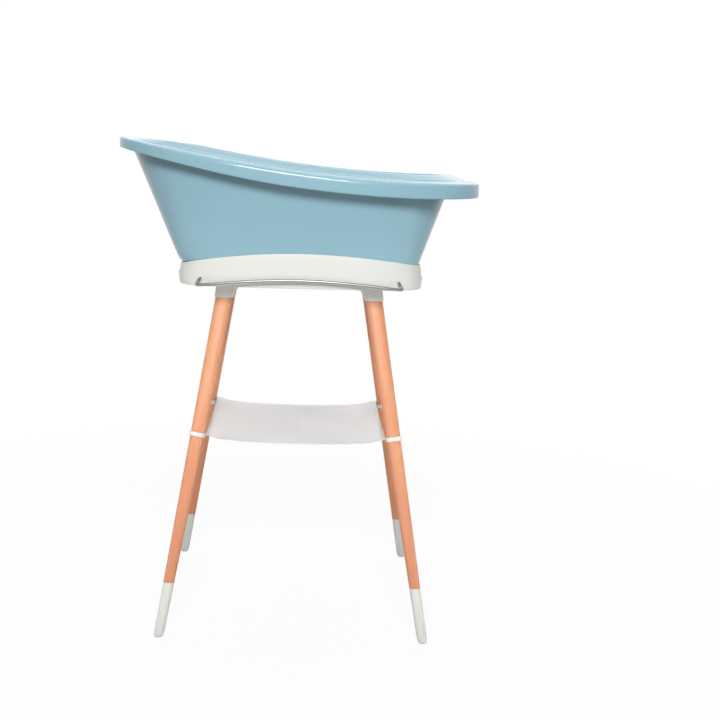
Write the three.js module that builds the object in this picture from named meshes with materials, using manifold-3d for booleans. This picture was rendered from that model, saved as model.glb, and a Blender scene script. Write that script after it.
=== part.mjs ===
// A baby bathtub on a four-legged wooden stand, in millimetres, +Z up.
// X runs along the tub from its high head end (-X) to its low foot end (+X), and the origin
// lies on the ground under the middle of the rim.
import * as THREE from 'three';
import { mergeVertices } from 'three/addons/utils/BufferGeometryUtils.js';
import Module from 'manifold-3d';

const wasm = await Module();
wasm.setup();

// ---- Driving dimensions ----

const GAP = 0.3; // between pieces that touch

// Tub rim, seen from above and from the side
const RIM_LENGTH = 784;
const RIM_WIDTH = 460;
const RIM_ROUNDNESS = 3.0; // power of the rim's outline: 2 is an ellipse, more is squarer
const HEAD_EDGE_Z = 1060; // top of the rim's outer edge at the head end
const FOOT_EDGE_Z = 978; // the same at the foot end
const EDGE_DIP = [-59, -12]; // how far the edge's sag handles lie under its two ends
const CREST_RISE = 20; // raised inner lip above the outer edge
const HEAD_CREST_SHARE = 0.3; // share of that rise left at the head end
const SKIRT_DEPTH = 28; // folded-down border
const SKIRT_DEPTH_HEAD = 20; // the same at the head end
const FLANGE_HEAD = 24; // rim width outside the raised lip, at the head end
const FLANGE_SIDE = 46;
const FLANGE_FOOT = 64;
const FOOT_LEAN = 2; // how far the lip leans out over the wall at the foot end
const LIP_WIDTH = 9;
const TUB_WALL = 3.6;

// Tub body
const TUB_BASE_Z = 782; // underside of the floor
const KNEE_LEFT = -264; // where the end walls turn into the floor
const KNEE_RIGHT = 263;
const KNEE_HALF_WIDTH = 150;
const KNEE_RISE_LEFT = 30; // height of that turn above the underside
const KNEE_RISE_RIGHT = 14;
const BODY_ROUNDNESS = 5.5;
const FLOOR_MARGIN = 80; // from that turn to the panel in the middle of the floor

// Drain
const DRAIN_X = 165;
const DRAIN_HOLE_R = 15;
const DRAIN_WALL = 2.4;
const DRAIN_FLANGE_R = 25;
const DRAIN_FLANGE_T = 2.5;
const DRAIN_LENGTH = 24; // spout below the tub's underside
const GASKET_T = 3;
const NUT_R = 22;
const NUT_T = 8;
const PLUG_R = 20;
const PLUG_T = 5;
const PLUG_DEPTH = 9;
const PULL_RING_R = 9;
const PULL_RING_WIRE_R = 1.2;

// Support ring
const STAND_X = 5; // the stand's middle, measured from the rim's middle
const RING_BASE_Z = 752;
const RING_CREST_Z = 826; // top edge where it is highest
const RING_CREST_X = 16; // how far that place lies from the middle, towards the foot end
const RING_ARCH = 27.3; // how far the top edge falls over half the ring's length
const RING_ARCH_POWER = 2.1; // shape of that arch: more is flatter in the middle
const RING_WALL = 3;
const RING_BULGE = 4;
const TUB_CLEARANCE = 0.8;
const LEDGE_WIDTH = 60;
const LEDGE_T = 6;

// Release buttons
const BUTTON_WIDTH = 40;
const BUTTON_HEIGHT = 11;
const BUTTON_PROUD = 7;
const BUTTON_BACK_T = 3;
const BUTTON_BACK_LIP = 3; // how far the back plate stands past the button, up and down
const BUTTON_BACK_SIDE = 4; // the same to each side
const BUTTON_BASE_Z = 760.5;

// Legs
const LEG_TOP = [160, 60]; // leg axis at the ring's underside, from the stand's middle
const LEG_FOOT = [286, 251]; // leg axis at the ground
const LEG_HEAD_Z = 770;
const LEG_BOTTOM_Z = 8;
const LEG_WIDTH_TOP = 38.5;
const LEG_WIDTH_FOOT = 21.2;
const LEG_DEPTH_TOP = 34;
const LEG_DEPTH_FOOT = 20;
const PAD_MARGIN = 6; // ring pad around each leg socket
const SOCKET_BASE_Z = 720;
const SOCKET_WALL = 2.4;
const CAP_LENGTH = 115; // the wood inside is cut back, so that the cap lies flush with the leg
const CAP_WALL = 2.2;
const TOE_ROUND = 6;
const BOLT_HEAD_R = 7;
const BOLT_HEAD_T = 2.6;
const BOLT_SHANK_R = 3;
const BOLT_LENGTH = 38;

// Towel rails
const RAIL_R = 3.1;
const RAIL_HALF_SPAN = 217;
const RAIL_HOOK = 6; // how far each end turns back towards the middle
const RAIL_STANDOFF = 18;
const RAIL_END_Z = 755.5;
const RAIL_MIDDLE_Z = 771.5;
const RAIL_BORE_Z = 768;

// Shelf
const SHELF_Z = 424; // middle of the shelf's ends
const SHELF_TILT = 14; // back edge above the front edge
const SHELF_T = 2.5;
const SHELF_SAG = 5;
const SHELF_CORNER_LIFT = 10;
const SHELF_OVERHANG = 12; // past the leg axes, front and back
const LOOP_RISE = 8; // of each loop's middle above the shelf's end there
const LOOP_HEIGHT = 9;
const LOOP_WALL = 1.8;

// Bath seat
const SEAT_FOOT_X = 128;
const SEAT_HEAD_X = -322;
const SEAT_T = 4;
const SEAT_PANEL_Y = 66;
const SEAT_PANEL_T = 5;
const CUP_X = 96;
const CUP_R = 31;
const CUP_HEIGHT = 12;
const STEM_R = 7;
const STEM_HEAD_R = 15;
const STEM_HEAD_T = 3;

// Drain hose
const HOSE_R = 8;
const HOSE_STEPS = 22;
const CONNECTOR_LENGTH = 14;
const CONNECTOR_WIDTH = 18;
const CONNECTOR_PLATE_T = 5; // upright plate on the connector's end
const CONNECTOR_PLATE_HEIGHT = 30;

// ---- Materials ----

const plastic = (color, roughness) => new THREE.MeshStandardMaterial({ color, roughness, metalness: 0 });
const metal = (color, roughness) => new THREE.MeshStandardMaterial({ color, roughness, metalness: 1 });
const TUB_BLUE = plastic(0x95b9c6, 0.3);
const SEAT_BLUE = plastic(0xa9c9d8, 0.25);
const WHITE = plastic(0xecece8, 0.4);
const CAP_WHITE = plastic(0xd8d9d4, 0.5);
const WOOD = plastic(0xe7af89, 0.55);
const FABRIC = plastic(0xecebea, 0.9);
const STEEL = metal(0xaeaea6, 0.3);
const RUBBER_GREY = plastic(0x8d98a0, 0.5);
const RUBBER_DARK = plastic(0x5c6368, 0.7);

// ---- Geometry helpers ----

const AROUND = 60; // steps around the tub and the ring

const lerp = THREE.MathUtils.lerp;
const smoothstep = THREE.MathUtils.smoothstep;

// An outline seen from above: a rounded oblong between two ends, even about the X axis.
const outline = (left, right, half, power) => ({ left, right, half, power });
const grow = (plan, by) => outline(plan.left - by, plan.right + by, plan.half + by, plan.power);

function alongOutline(plan, turn) {
  const bend = (value) => Math.sign(value) * Math.abs(value) ** (2 / plan.power);
  const middle = (plan.left + plan.right) / 2;
  const reach = (plan.right - plan.left) / 2;
  return new THREE.Vector2(middle + reach * bend(Math.cos(turn)), plan.half * bend(Math.sin(turn)));
}

// One closed body from any geometry: shared vertices, no slivers, faces outwards.
function closedBody(geometry) {
  const plain = geometry.clone();
  for (const name of ['normal', 'uv']) plain.deleteAttribute(name);
  const merged = mergeVertices(plain, 1e-4);
  const { array } = merged.index;
  const kept = [];
  for (let i = 0; i < array.length; i += 3) {
    const [a, b, c] = [array[i], array[i + 1], array[i + 2]];
    if (a !== b && b !== c && c !== a) kept.push(a, b, c);
  }
  const body = new THREE.BufferGeometry();
  body.setAttribute('position', merged.attributes.position);
  body.setIndex(volumeOf(merged.attributes.position, kept) < 0 ? kept.reverse() : kept);
  return body;
}

function volumeOf(position, index) {
  const corner = (i) => new THREE.Vector3().fromBufferAttribute(position, index[i]);
  let total = 0;
  for (let i = 0; i < index.length; i += 3) {
    total += corner(i).dot(corner(i + 1).cross(corner(i + 2))) / 6;
  }
  return total;
}

function toSolid(geometry) {
  const body = closedBody(geometry);
  return new wasm.Manifold(new wasm.Mesh({
    numProp: 3,
    vertProperties: new Float32Array(body.attributes.position.array),
    triVerts: new Uint32Array(body.index.array),
  }));
}

function toGeometry(solid) {
  const { vertProperties, triVerts } = solid.getMesh();
  const geometry = new THREE.BufferGeometry();
  geometry.setAttribute('position', new THREE.BufferAttribute(new Float32Array(vertProperties), 3));
  geometry.setIndex(new THREE.BufferAttribute(new Uint32Array(triVerts), 1));
  return geometry;
}

// Moves every vertex of a geometry to where place(vertex) says.
function warp(geometry, place) {
  const { position } = geometry.attributes;
  for (let i = 0; i < position.count; i += 1) {
    const moved = place(new THREE.Vector3().fromBufferAttribute(position, i));
    position.setXYZ(i, moved.x, moved.y, moved.z);
  }
  return geometry;
}

// A skin through rings of points. Each station is a function from a turn to a point, and the
// skin closes at a pole at both ends or, for a hoop, back on its first station.
function loft(stations, hoop = false) {
  const path = hoop ? [...stations, stations[0]] : stations;
  const profile = path.map((station, i) => new THREE.Vector2(1, i));
  const skin = new THREE.LatheGeometry(profile, AROUND);
  return closedBody(warp(skin, (vertex) => {
    const turn = Math.round((Math.atan2(vertex.x, vertex.z) / (2 * Math.PI)) * AROUND);
    return path[Math.round(vertex.y)]((turn * 2 * Math.PI) / AROUND);
  }));
}

const pole = (x, z) => () => new THREE.Vector3(x, 0, z);

function cylinder(radius, bottom, top, x = 0, y = 0, sides = 24) {
  const geometry = new THREE.CylinderGeometry(radius, radius, top - bottom, sides);
  geometry.rotateX(Math.PI / 2);
  return geometry.translate(x, y, (bottom + top) / 2);
}

// A turned piece from [radius, height] pairs, standing on +Z.
function turned(pairs, x, y, z, sides = 24) {
  const profile = pairs.map(([radius, height]) => new THREE.Vector2(radius, height));
  const geometry = new THREE.LatheGeometry(profile, sides);
  return closedBody(geometry.rotateX(Math.PI / 2).translate(x, y, z));
}

function box(low, high) {
  const size = high.map((value, i) => value - low[i]);
  const geometry = new THREE.BoxGeometry(...size);
  return geometry.translate(...high.map((value, i) => (value + low[i]) / 2));
}

function tube(points, radius, steps, sides) {
  const path = new THREE.CatmullRomCurve3(points.map((point) => new THREE.Vector3(...point)));
  const section = new THREE.Shape();
  for (let i = 0; i < sides; i += 1) {
    const turn = (i * 2 * Math.PI) / sides;
    const corner = [radius * Math.cos(turn), radius * Math.sin(turn)];
    if (i === 0) section.moveTo(...corner);
    else section.lineTo(...corner);
  }
  return closedBody(new THREE.ExtrudeGeometry(section, { steps, extrudePath: path }));
}

const model = new THREE.Group();
const stand = new THREE.Group();
stand.position.x = STAND_X;
model.add(stand);

function add(group, name, geometry, material) {
  const mesh = new THREE.Mesh(geometry, material);
  mesh.name = name;
  group.add(mesh);
}

// ---- Tub ----

const EDGE = outline(-RIM_LENGTH / 2, RIM_LENGTH / 2, RIM_WIDTH / 2, RIM_ROUNDNESS);
const CREST = outline(
  EDGE.left + FLANGE_HEAD,
  EDGE.right - FLANGE_FOOT,
  EDGE.half - FLANGE_SIDE,
  RIM_ROUNDNESS,
);
const KNEE = outline(KNEE_LEFT, KNEE_RIGHT, KNEE_HALF_WIDTH, BODY_ROUNDNESS);
const FLOOR_TOP_Z = TUB_BASE_Z + TUB_WALL;

// Height of the rim's outer edge at x: a Bezier curve whose x handles are evenly spaced.
function edgeHeight(x) {
  const t = THREE.MathUtils.clamp((x - EDGE.left) / RIM_LENGTH, 0, 1);
  const heights = [
    HEAD_EDGE_Z, HEAD_EDGE_Z + EDGE_DIP[0], FOOT_EDGE_Z + EDGE_DIP[1], FOOT_EDGE_Z,
  ];
  const weights = [(1 - t) ** 3, 3 * t * (1 - t) ** 2, 3 * t * t * (1 - t), t ** 3];
  return heights.reduce((sum, height, i) => sum + height * weights[i], 0);
}

// The wall's head, where it meets the flange, and its knee, where it turns into the floor.
const WALL = outline(
  CREST.left - LIP_WIDTH / 2,
  CREST.right + LIP_WIDTH / 2 - FOOT_LEAN,
  CREST.half + LIP_WIDTH / 2,
  RIM_ROUNDNESS,
);
const wallHead = (turn, inset = 0) => {
  const { x, y } = alongOutline(grow(WALL, -inset), turn);
  return new THREE.Vector3(x, y, edgeHeight(x));
};
const kneeRise = (x) => lerp(KNEE_RISE_LEFT, KNEE_RISE_RIGHT, (x - KNEE.left) / (KNEE.right - KNEE.left));
const wallKnee = (turn, inset = 0) => {
  const { x, y } = alongOutline(grow(KNEE, -inset), turn);
  return new THREE.Vector3(x, y, TUB_BASE_Z + kneeRise(x));
};

// The fillet between wall and floor, from the knee (0) to the flat floor (1).
function fillet(turn, share, inset) {
  const knee = wallKnee(turn, inset);
  const head = wallHead(turn, inset);
  const lean = Math.atan2(Math.hypot(head.x - knee.x, head.y - knee.y), head.z - knee.z);
  const floor = TUB_BASE_Z + inset;
  const radius = (knee.z - floor) / (1 - Math.sin(lean));
  const angle = lerp(lean, Math.PI / 2, share);
  const inwards = radius * (Math.cos(lean) - Math.cos(angle));
  const { x, y } = alongOutline(grow(KNEE, -inset - inwards), turn);
  return new THREE.Vector3(x, y, knee.z - radius * (Math.sin(angle) - Math.sin(lean)));
}

// A point on the outer wall at a height.
function outerWall(turn, z) {
  const knee = wallKnee(turn);
  const head = wallHead(turn);
  if (z >= knee.z) return knee.lerp(head, (z - knee.z) / (head.z - knee.z));
  const floor = TUB_BASE_Z;
  let [low, high] = [0, 1];
  for (let i = 0; i < 24; i += 1) {
    const middle = (low + high) / 2;
    if (fillet(turn, middle, 0).z > Math.max(z, floor)) low = middle;
    else high = middle;
  }
  return fillet(turn, low, 0);
}

// The rim between the raised lip (share 0) and the outer edge (share 1), and how much of the
// crest's rise is left there.
function rim(share, riseLeft, offset = 0) {
  return (turn) => {
    const crest = alongOutline(CREST, turn);
    const edge = alongOutline(EDGE, turn);
    const at = crest.lerp(edge, share);
    const rise = CREST_RISE * (at.x < 0 ? lerp(1, HEAD_CREST_SHARE, smoothstep(-at.x, 230, 390)) : 1);
    return new THREE.Vector3(at.x, at.y, edgeHeight(at.x) + rise * riseLeft + offset);
  };
}
const crestInside = (drop) => (turn) => {
  const { x, y } = alongOutline(grow(CREST, -LIP_WIDTH / 2), turn);
  return new THREE.Vector3(x, y, rim(0, 1)(turn).z - drop);
};
// A point of the folded-down border: outset from the edge, and a depth or its full depth.
const skirt = (outset, depth = null) => (turn) => {
  const { x, y } = alongOutline(grow(EDGE, outset), turn);
  const full = lerp(SKIRT_DEPTH_HEAD, SKIRT_DEPTH, smoothstep(x, EDGE.left, 0));
  return new THREE.Vector3(x, y, edgeHeight(x) - (depth ?? full));
};

const floorPanel = (z) => (turn) => {
  const { x, y } = alongOutline(grow(KNEE, -FLOOR_MARGIN), turn);
  return new THREE.Vector3(x, y, z);
};

const FLOOR_SHARES = [1, 0.75, 0.5, 0.25];
const tubShell = toSolid(loft([
  pole(0, FLOOR_TOP_Z),
  floorPanel(FLOOR_TOP_Z),
  ...FLOOR_SHARES.map((share) => (turn) => fillet(turn, share, TUB_WALL)),
  (turn) => wallKnee(turn, TUB_WALL),
  (turn) => wallKnee(turn, TUB_WALL).lerp(wallHead(turn, TUB_WALL), 0.5),
  (turn) => wallHead(turn, TUB_WALL),
  crestInside(7),
  crestInside(2),
  rim(0, 1),
  rim(0.12, 0.93),
  rim(0.45, 0.5),
  rim(0.52, 0.34),
  rim(0.6, 0.36),
  rim(0.86, 0.2),
  skirt(-3, -1),
  skirt(-0.8, 2),
  skirt(-0.4, 6),
  skirt(0),
  skirt(-TUB_WALL),
  skirt(-TUB_WALL - 1, TUB_WALL + 2),
  (turn) => wallHead(turn).add(new THREE.Vector3(0, 0, -TUB_WALL)),
  (turn) => wallKnee(turn).lerp(wallHead(turn), 0.5),
  (turn) => wallKnee(turn),
  ...FLOOR_SHARES.toReversed().map((share) => (turn) => fillet(turn, share, 0)),
  floorPanel(TUB_BASE_Z),
  pole(0, TUB_BASE_Z),
]));
const drainCut = toSolid(cylinder(DRAIN_HOLE_R, TUB_BASE_Z - 5, FLOOR_TOP_Z + 5, DRAIN_X));
add(model, 'tub_shell', toGeometry(tubShell.subtract(drainCut)), TUB_BLUE);

// ---- Drain ----

const SPOUT_R = DRAIN_HOLE_R - GAP;
const SPOUT_BORE_R = SPOUT_R - DRAIN_WALL;
const FLANGE_BASE_Z = FLOOR_TOP_Z + GAP;
const FLANGE_TOP_Z = FLANGE_BASE_Z + DRAIN_FLANGE_T;
const SPOUT_END_Z = TUB_BASE_Z - DRAIN_LENGTH;

add(model, 'drain_flange', turned([
  [SPOUT_BORE_R, SPOUT_END_Z],
  [SPOUT_R, SPOUT_END_Z],
  [SPOUT_R, FLANGE_BASE_Z],
  [DRAIN_FLANGE_R, FLANGE_BASE_Z],
  [DRAIN_FLANGE_R - 1.5, FLANGE_TOP_Z],
  [SPOUT_BORE_R, FLANGE_TOP_Z],
  [SPOUT_BORE_R, SPOUT_END_Z],
], DRAIN_X, 0, 0), CAP_WHITE);

// A flat ring round the spout.
function washer(outer, top, thickness, sides) {
  const disc = toSolid(cylinder(outer, top - thickness, top, DRAIN_X, 0, sides));
  const hole = toSolid(cylinder(SPOUT_R + GAP, top - thickness - 1, top + 1, DRAIN_X));
  return toGeometry(disc.subtract(hole));
}
const GASKET_TOP_Z = TUB_BASE_Z - GAP;
add(model, 'drain_gasket', washer(NUT_R + 1, GASKET_TOP_Z, GASKET_T, 24), RUBBER_DARK);
add(model, 'drain_nut', washer(NUT_R, GASKET_TOP_Z - GASKET_T - GAP, NUT_T, 8), CAP_WHITE);

// The stopper, with an ear for its ring.
const PLUG_BASE_Z = FLANGE_TOP_Z + GAP;
const PLUG_TOP_Z = PLUG_BASE_Z + PLUG_T;
const EAR_HEIGHT = 7;
const EAR_HALF = 2;
const ringHeight = PLUG_TOP_Z + 4.5;
const plugBody = toSolid(turned([
  [0, PLUG_BASE_Z - PLUG_DEPTH],
  [SPOUT_BORE_R - 1.6, PLUG_BASE_Z - PLUG_DEPTH],
  [SPOUT_BORE_R - 0.5, PLUG_BASE_Z],
  [PLUG_R, PLUG_BASE_Z],
  [PLUG_R, PLUG_BASE_Z + PLUG_T * 0.4],
  [PLUG_R - 4, PLUG_TOP_Z],
  [0, PLUG_TOP_Z],
], DRAIN_X, 0, 0));
const plugEar = toSolid(box(
  [DRAIN_X - EAR_HALF, -5, PLUG_TOP_Z - 1],
  [DRAIN_X + EAR_HALF, 5, PLUG_TOP_Z + EAR_HEIGHT],
));
const earHole = toSolid(cylinder(PULL_RING_WIRE_R + 0.6, -5, 5, 0, 0, 16)
  .rotateY(Math.PI / 2).translate(DRAIN_X, 0, ringHeight));
add(model, 'drain_plug', toGeometry(plugBody.add(plugEar).subtract(earHole)), RUBBER_DARK);

const pullRing = new THREE.TorusGeometry(PULL_RING_R, PULL_RING_WIRE_R, 6, 20)
  .rotateX(Math.PI / 2).translate(DRAIN_X, 0, ringHeight + PULL_RING_R);
add(model, 'plug_pull_ring', closedBody(pullRing), STEEL);

// ---- Support ring ----

function ringTop(turn) {
  const middle = (KNEE.left + KNEE.right) / 2;
  const share = (alongOutline(KNEE, turn).x - middle - RING_CREST_X) / (KNEE.right - middle);
  return RING_CREST_Z - RING_ARCH * Math.abs(share) ** RING_ARCH_POWER;
}

// The ring's inner face follows the tub's wall at the ring's top edge.
function ringFace(outset, height) {
  return (turn) => {
    const top = ringTop(turn);
    const wall = outerWall(turn, top);
    const away = new THREE.Vector2(Math.cos(turn), Math.sin(turn) * 1.6).normalize();
    const reach = TUB_CLEARANCE + outset;
    return new THREE.Vector3(wall.x + away.x * reach - STAND_X, wall.y + away.y * reach, height(top));
  };
}
const LEDGE_TOP_Z = TUB_BASE_Z - GAP;
const LEDGE_BASE_Z = LEDGE_TOP_Z - LEDGE_T;
const at = (z) => () => z;
const below = (drop) => (top) => top - drop;

const ringHoop = toSolid(loft([
  ringFace(0, below(0)),
  ringFace(RING_WALL, below(0)),
  ringFace(RING_WALL + 1, below(3)),
  ringFace(RING_WALL + RING_BULGE, at(RING_BASE_Z + 17)),
  ringFace(RING_WALL + RING_BULGE, at(RING_BASE_Z + 12)),
  ringFace(RING_WALL + RING_BULGE - 1, at(RING_BASE_Z)),
  ringFace(0, at(RING_BASE_Z)),
  ringFace(0, at(LEDGE_BASE_Z)),
  ringFace(-LEDGE_WIDTH, at(LEDGE_BASE_Z)),
  ringFace(-LEDGE_WIDTH, at(LEDGE_TOP_Z)),
  ringFace(0, at(LEDGE_TOP_Z)),
], true));

// ---- Legs ----

const CORNERS = [
  ['front_left', -1, -1],
  ['front_right', 1, -1],
  ['back_left', -1, 1],
  ['back_right', 1, 1],
];

// The leg's axis at a height.
function legAxis(sideX, sideY, z) {
  const share = 1 - z / RING_BASE_Z;
  return new THREE.Vector2(
    sideX * lerp(LEG_TOP[0], LEG_FOOT[0], share),
    sideY * lerp(LEG_TOP[1], LEG_FOOT[1], share),
  );
}

// Half the leg's width and depth at a height, with an allowance all round.
function legHalf(z, allowance) {
  const taper = 1 - z / RING_BASE_Z;
  return new THREE.Vector2(
    lerp(LEG_WIDTH_TOP, LEG_WIDTH_FOOT, taper) / 2 + allowance,
    lerp(LEG_DEPTH_TOP, LEG_DEPTH_FOOT, taper) / 2 + allowance,
  );
}

// A solid along the leg through [height, allowance] rows. A row marked square is cut square to
// the leg, and the others are level.
const LEG_SIDES = 16;
const LEG_ROUNDNESS = 3.2;
const LEAN = [0, 1].map((i) => (LEG_FOOT[i] - LEG_TOP[i]) / RING_BASE_Z);
function legSolid(sideX, sideY, rows) {
  const profile = [
    new THREE.Vector2(0, 0),
    ...rows.map((row, i) => new THREE.Vector2(1, i)),
    new THREE.Vector2(0, rows.length - 1),
  ];
  const lathe = new THREE.LatheGeometry(profile, LEG_SIDES);
  return toSolid(warp(lathe, (vertex) => {
    const [z, allowance, square] = rows[Math.round(vertex.y)];
    const axis = legAxis(sideX, sideY, z);
    if (Math.hypot(vertex.x, vertex.z) < 0.5) return new THREE.Vector3(axis.x, axis.y, z);
    const half = legHalf(z, allowance);
    const turn = Math.round((Math.atan2(vertex.x, vertex.z) / (2 * Math.PI)) * LEG_SIDES);
    const section = outline(-half.x, half.x, half.y, LEG_ROUNDNESS);
    const off = alongOutline(section, (turn * 2 * Math.PI) / LEG_SIDES);
    const tilt = square ? sideX * LEAN[0] * off.x + sideY * LEAN[1] * off.y : 0;
    return new THREE.Vector3(axis.x + off.x, axis.y + off.y, z + tilt);
  }));
}
const levels = (bottom, top, count, allowance) => Array.from(
  { length: count + 1 },
  (_, i) => [lerp(bottom, top, i / count), allowance],
);

const BOLT_SEAT_Z = LEDGE_TOP_Z - GAP - BOLT_HEAD_T;
const BOLT_END_Z = BOLT_SEAT_Z - BOLT_LENGTH;
const SOCKET_TOP_Z = LEDGE_BASE_Z - GAP;

let ring = ringHoop;
for (const [, sideX, sideY] of CORNERS) {
  const axis = legAxis(1, 1, SOCKET_TOP_Z);
  const half = legHalf(SOCKET_TOP_Z, SOCKET_WALL + PAD_MARGIN);
  const ends = [sideX * (axis.x - half.x), sideX * (axis.x + half.x)];
  const sides = [sideY * (axis.y - half.y), sideY * (KNEE_HALF_WIDTH - LEDGE_WIDTH + PAD_MARGIN)];
  ring = ring.add(toSolid(box(
    [Math.min(...ends), Math.min(...sides), LEDGE_BASE_Z],
    [Math.max(...ends), Math.max(...sides), LEDGE_TOP_Z],
  )));
}
for (const [corner, sideX, sideY] of CORNERS) {
  const boltAt = legAxis(sideX, sideY, (BOLT_SEAT_Z + BOLT_END_Z) / 2);
  const bore = toSolid(cylinder(
    BOLT_SHANK_R + GAP, BOLT_END_Z - 2, LEDGE_TOP_Z + 2, boltAt.x, boltAt.y, 20,
  ));
  const headBore = toSolid(cylinder(
    BOLT_HEAD_R + GAP, BOLT_SEAT_Z - GAP, LEDGE_TOP_Z + 2, boltAt.x, boltAt.y, 20,
  ));
  ring = ring.subtract(bore).subtract(headBore);

  const leg = legSolid(sideX, sideY, [
    ...levels(LEG_BOTTOM_Z, CAP_LENGTH + GAP, 3, -CAP_WALL - GAP),
    ...levels(CAP_LENGTH + GAP, LEG_HEAD_Z, 9, 0),
  ]);
  add(stand, `leg_${corner}`, toGeometry(leg.subtract(bore)), WOOD);

  const socketOuter = legSolid(sideX, sideY, [
    [SOCKET_BASE_Z, GAP + SOCKET_WALL],
    [SOCKET_TOP_Z, GAP + SOCKET_WALL],
  ]);
  const socketInner = legSolid(sideX, sideY, levels(SOCKET_BASE_Z - 20, LEG_HEAD_Z + GAP, 2, GAP));
  const socket = socketOuter.subtract(socketInner).subtract(bore);
  add(stand, `leg_socket_${corner}`, toGeometry(socket), CAP_WHITE);

  const capOuter = legSolid(sideX, sideY, [
    [0, -TOE_ROUND],
    [TOE_ROUND * 0.3, -TOE_ROUND * 0.45],
    [TOE_ROUND, -TOE_ROUND * 0.1],
    ...levels(TOE_ROUND * 1.8, CAP_LENGTH, 4, 0),
  ]);
  const capInner = legSolid(sideX, sideY, levels(LEG_BOTTOM_Z - GAP, CAP_LENGTH + 5, 5, -CAP_WALL));
  add(stand, `foot_cap_${corner}`, toGeometry(capOuter.subtract(capInner)), CAP_WHITE);

  add(stand, `leg_bolt_${corner}`, turned([
    [0, BOLT_END_Z],
    [BOLT_SHANK_R, BOLT_END_Z],
    [BOLT_SHANK_R, BOLT_SEAT_Z],
    [BOLT_HEAD_R, BOLT_SEAT_Z],
    [BOLT_HEAD_R, BOLT_SEAT_Z + BOLT_HEAD_T * 0.5],
    [BOLT_HEAD_R - 2, BOLT_SEAT_Z + BOLT_HEAD_T],
    [0, BOLT_SEAT_Z + BOLT_HEAD_T],
  ], boltAt.x, boltAt.y, 0, 20), STEEL);
}

// ---- Release buttons, one in each end of the ring ----

const BUTTON_TOP_Z = BUTTON_BASE_Z + BUTTON_HEIGHT;
for (const [name, side] of [['left', -1], ['right', 1]]) {
  const faceTurn = side < 0 ? Math.PI : 0;
  const inner = Math.abs(ringFace(0, below(0))(faceTurn).x);
  const outer = Math.abs(ringFace(RING_WALL + RING_BULGE, below(0))(faceTurn).x);
  const halfWidth = BUTTON_WIDTH / 2;
  const span = (from, to, half, low, high) => {
    const ends = [side * from, side * to];
    return toSolid(box([Math.min(...ends), -half, low], [Math.max(...ends), half, high]));
  };
  ring = ring.subtract(span(
    inner - 10, outer + 10, halfWidth + GAP, BUTTON_BASE_Z - GAP, BUTTON_TOP_Z + GAP,
  ));
  const backFace = inner - 2 * GAP;
  const cap = span(backFace - 1, outer + BUTTON_PROUD, halfWidth, BUTTON_BASE_Z, BUTTON_TOP_Z);
  const back = span(
    backFace - BUTTON_BACK_T, backFace, halfWidth + BUTTON_BACK_SIDE,
    BUTTON_BASE_Z - BUTTON_BACK_LIP, BUTTON_TOP_Z + BUTTON_BACK_LIP,
  );
  add(stand, `release_button_${name}`, toGeometry(cap.add(back)), WHITE);
}

// ---- Towel rails ----

for (const [name, side] of [['front', -1], ['back', 1]]) {
  const faceY = Math.abs(ringFace(RING_WALL + RING_BULGE, below(0))(Math.PI / 2).y);
  const railY = faceY + RAIL_STANDOFF;
  const endX = RAIL_HALF_SPAN - RAIL_HOOK;
  // The ring's inner face beside the rail's end.
  let turn = Math.PI / 2;
  while (ringFace(0, below(0))(turn).x < endX) turn -= 0.002;
  const boreY = ringFace(0, below(0))(turn).y;
  const half = [
    [RAIL_HALF_SPAN * 0.32, railY, RAIL_MIDDLE_Z - 1.8],
    [RAIL_HALF_SPAN * 0.62, railY - 1, lerp(RAIL_MIDDLE_Z, RAIL_END_Z, 0.4)],
    [RAIL_HALF_SPAN * 0.9, railY - 4, RAIL_END_Z + 3],
    [RAIL_HALF_SPAN, railY - 10, RAIL_END_Z + 2],
    [RAIL_HALF_SPAN - RAIL_HOOK / 3, boreY + 30, RAIL_BORE_Z - 5],
    [endX, boreY + 22, RAIL_BORE_Z],
    [endX, boreY + 12, RAIL_BORE_Z],
    [endX, boreY, RAIL_BORE_Z],
    [endX, boreY - 10, RAIL_BORE_Z],
  ];
  const mirrored = half.toReversed().map(([x, y, z]) => [-x, y, z]);
  const points = [...mirrored, [0, railY, RAIL_MIDDLE_Z], ...half];
  const rail = points.map(([x, y, z]) => [x, side * y, z]);
  add(stand, `towel_rail_${name}`, tube(rail, RAIL_R, 40, 8), STEEL);
  for (const end of [-1, 1]) {
    const bore = cylinder(RAIL_R + GAP + 0.5, -22, 22, 0, 0, 16).rotateX(Math.PI / 2);
    ring = ring.subtract(toSolid(bore.translate(end * endX, side * (boreY + 4), RAIL_BORE_Z)));
  }
}
add(stand, 'support_ring', toGeometry(ring), WHITE);

// ---- Storage shelf and the loops that hold it to the legs ----

const shelfEndZ = (y) => SHELF_Z + (SHELF_TILT / 2) * y;
const loopLow = (y) => shelfEndZ(y) + LOOP_RISE - LOOP_HEIGHT / 2;
const loopHigh = (y) => shelfEndZ(y) + LOOP_RISE + LOOP_HEIGHT / 2;
const shelfHalfDepth = legAxis(1, 1, SHELF_Z).y + SHELF_OVERHANG;
function shelfEndX(y) {
  const z = loopHigh(y);
  return legAxis(1, 1, z).x - legHalf(z, 2 * GAP + LOOP_WALL).x;
}
const shelf = warp(new THREE.BoxGeometry(2, 2, 1, 12, 6, 1), ({ x, y, z }) => {
  const lift = SHELF_CORNER_LIFT * Math.abs(x) ** 6;
  const sag = SHELF_SAG * (1 - x * x);
  return new THREE.Vector3(
    x * shelfEndX(y),
    y * shelfHalfDepth,
    shelfEndZ(y) + lift - sag + z * SHELF_T,
  );
});
add(stand, 'storage_shelf', closedBody(shelf), FABRIC);
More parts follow.
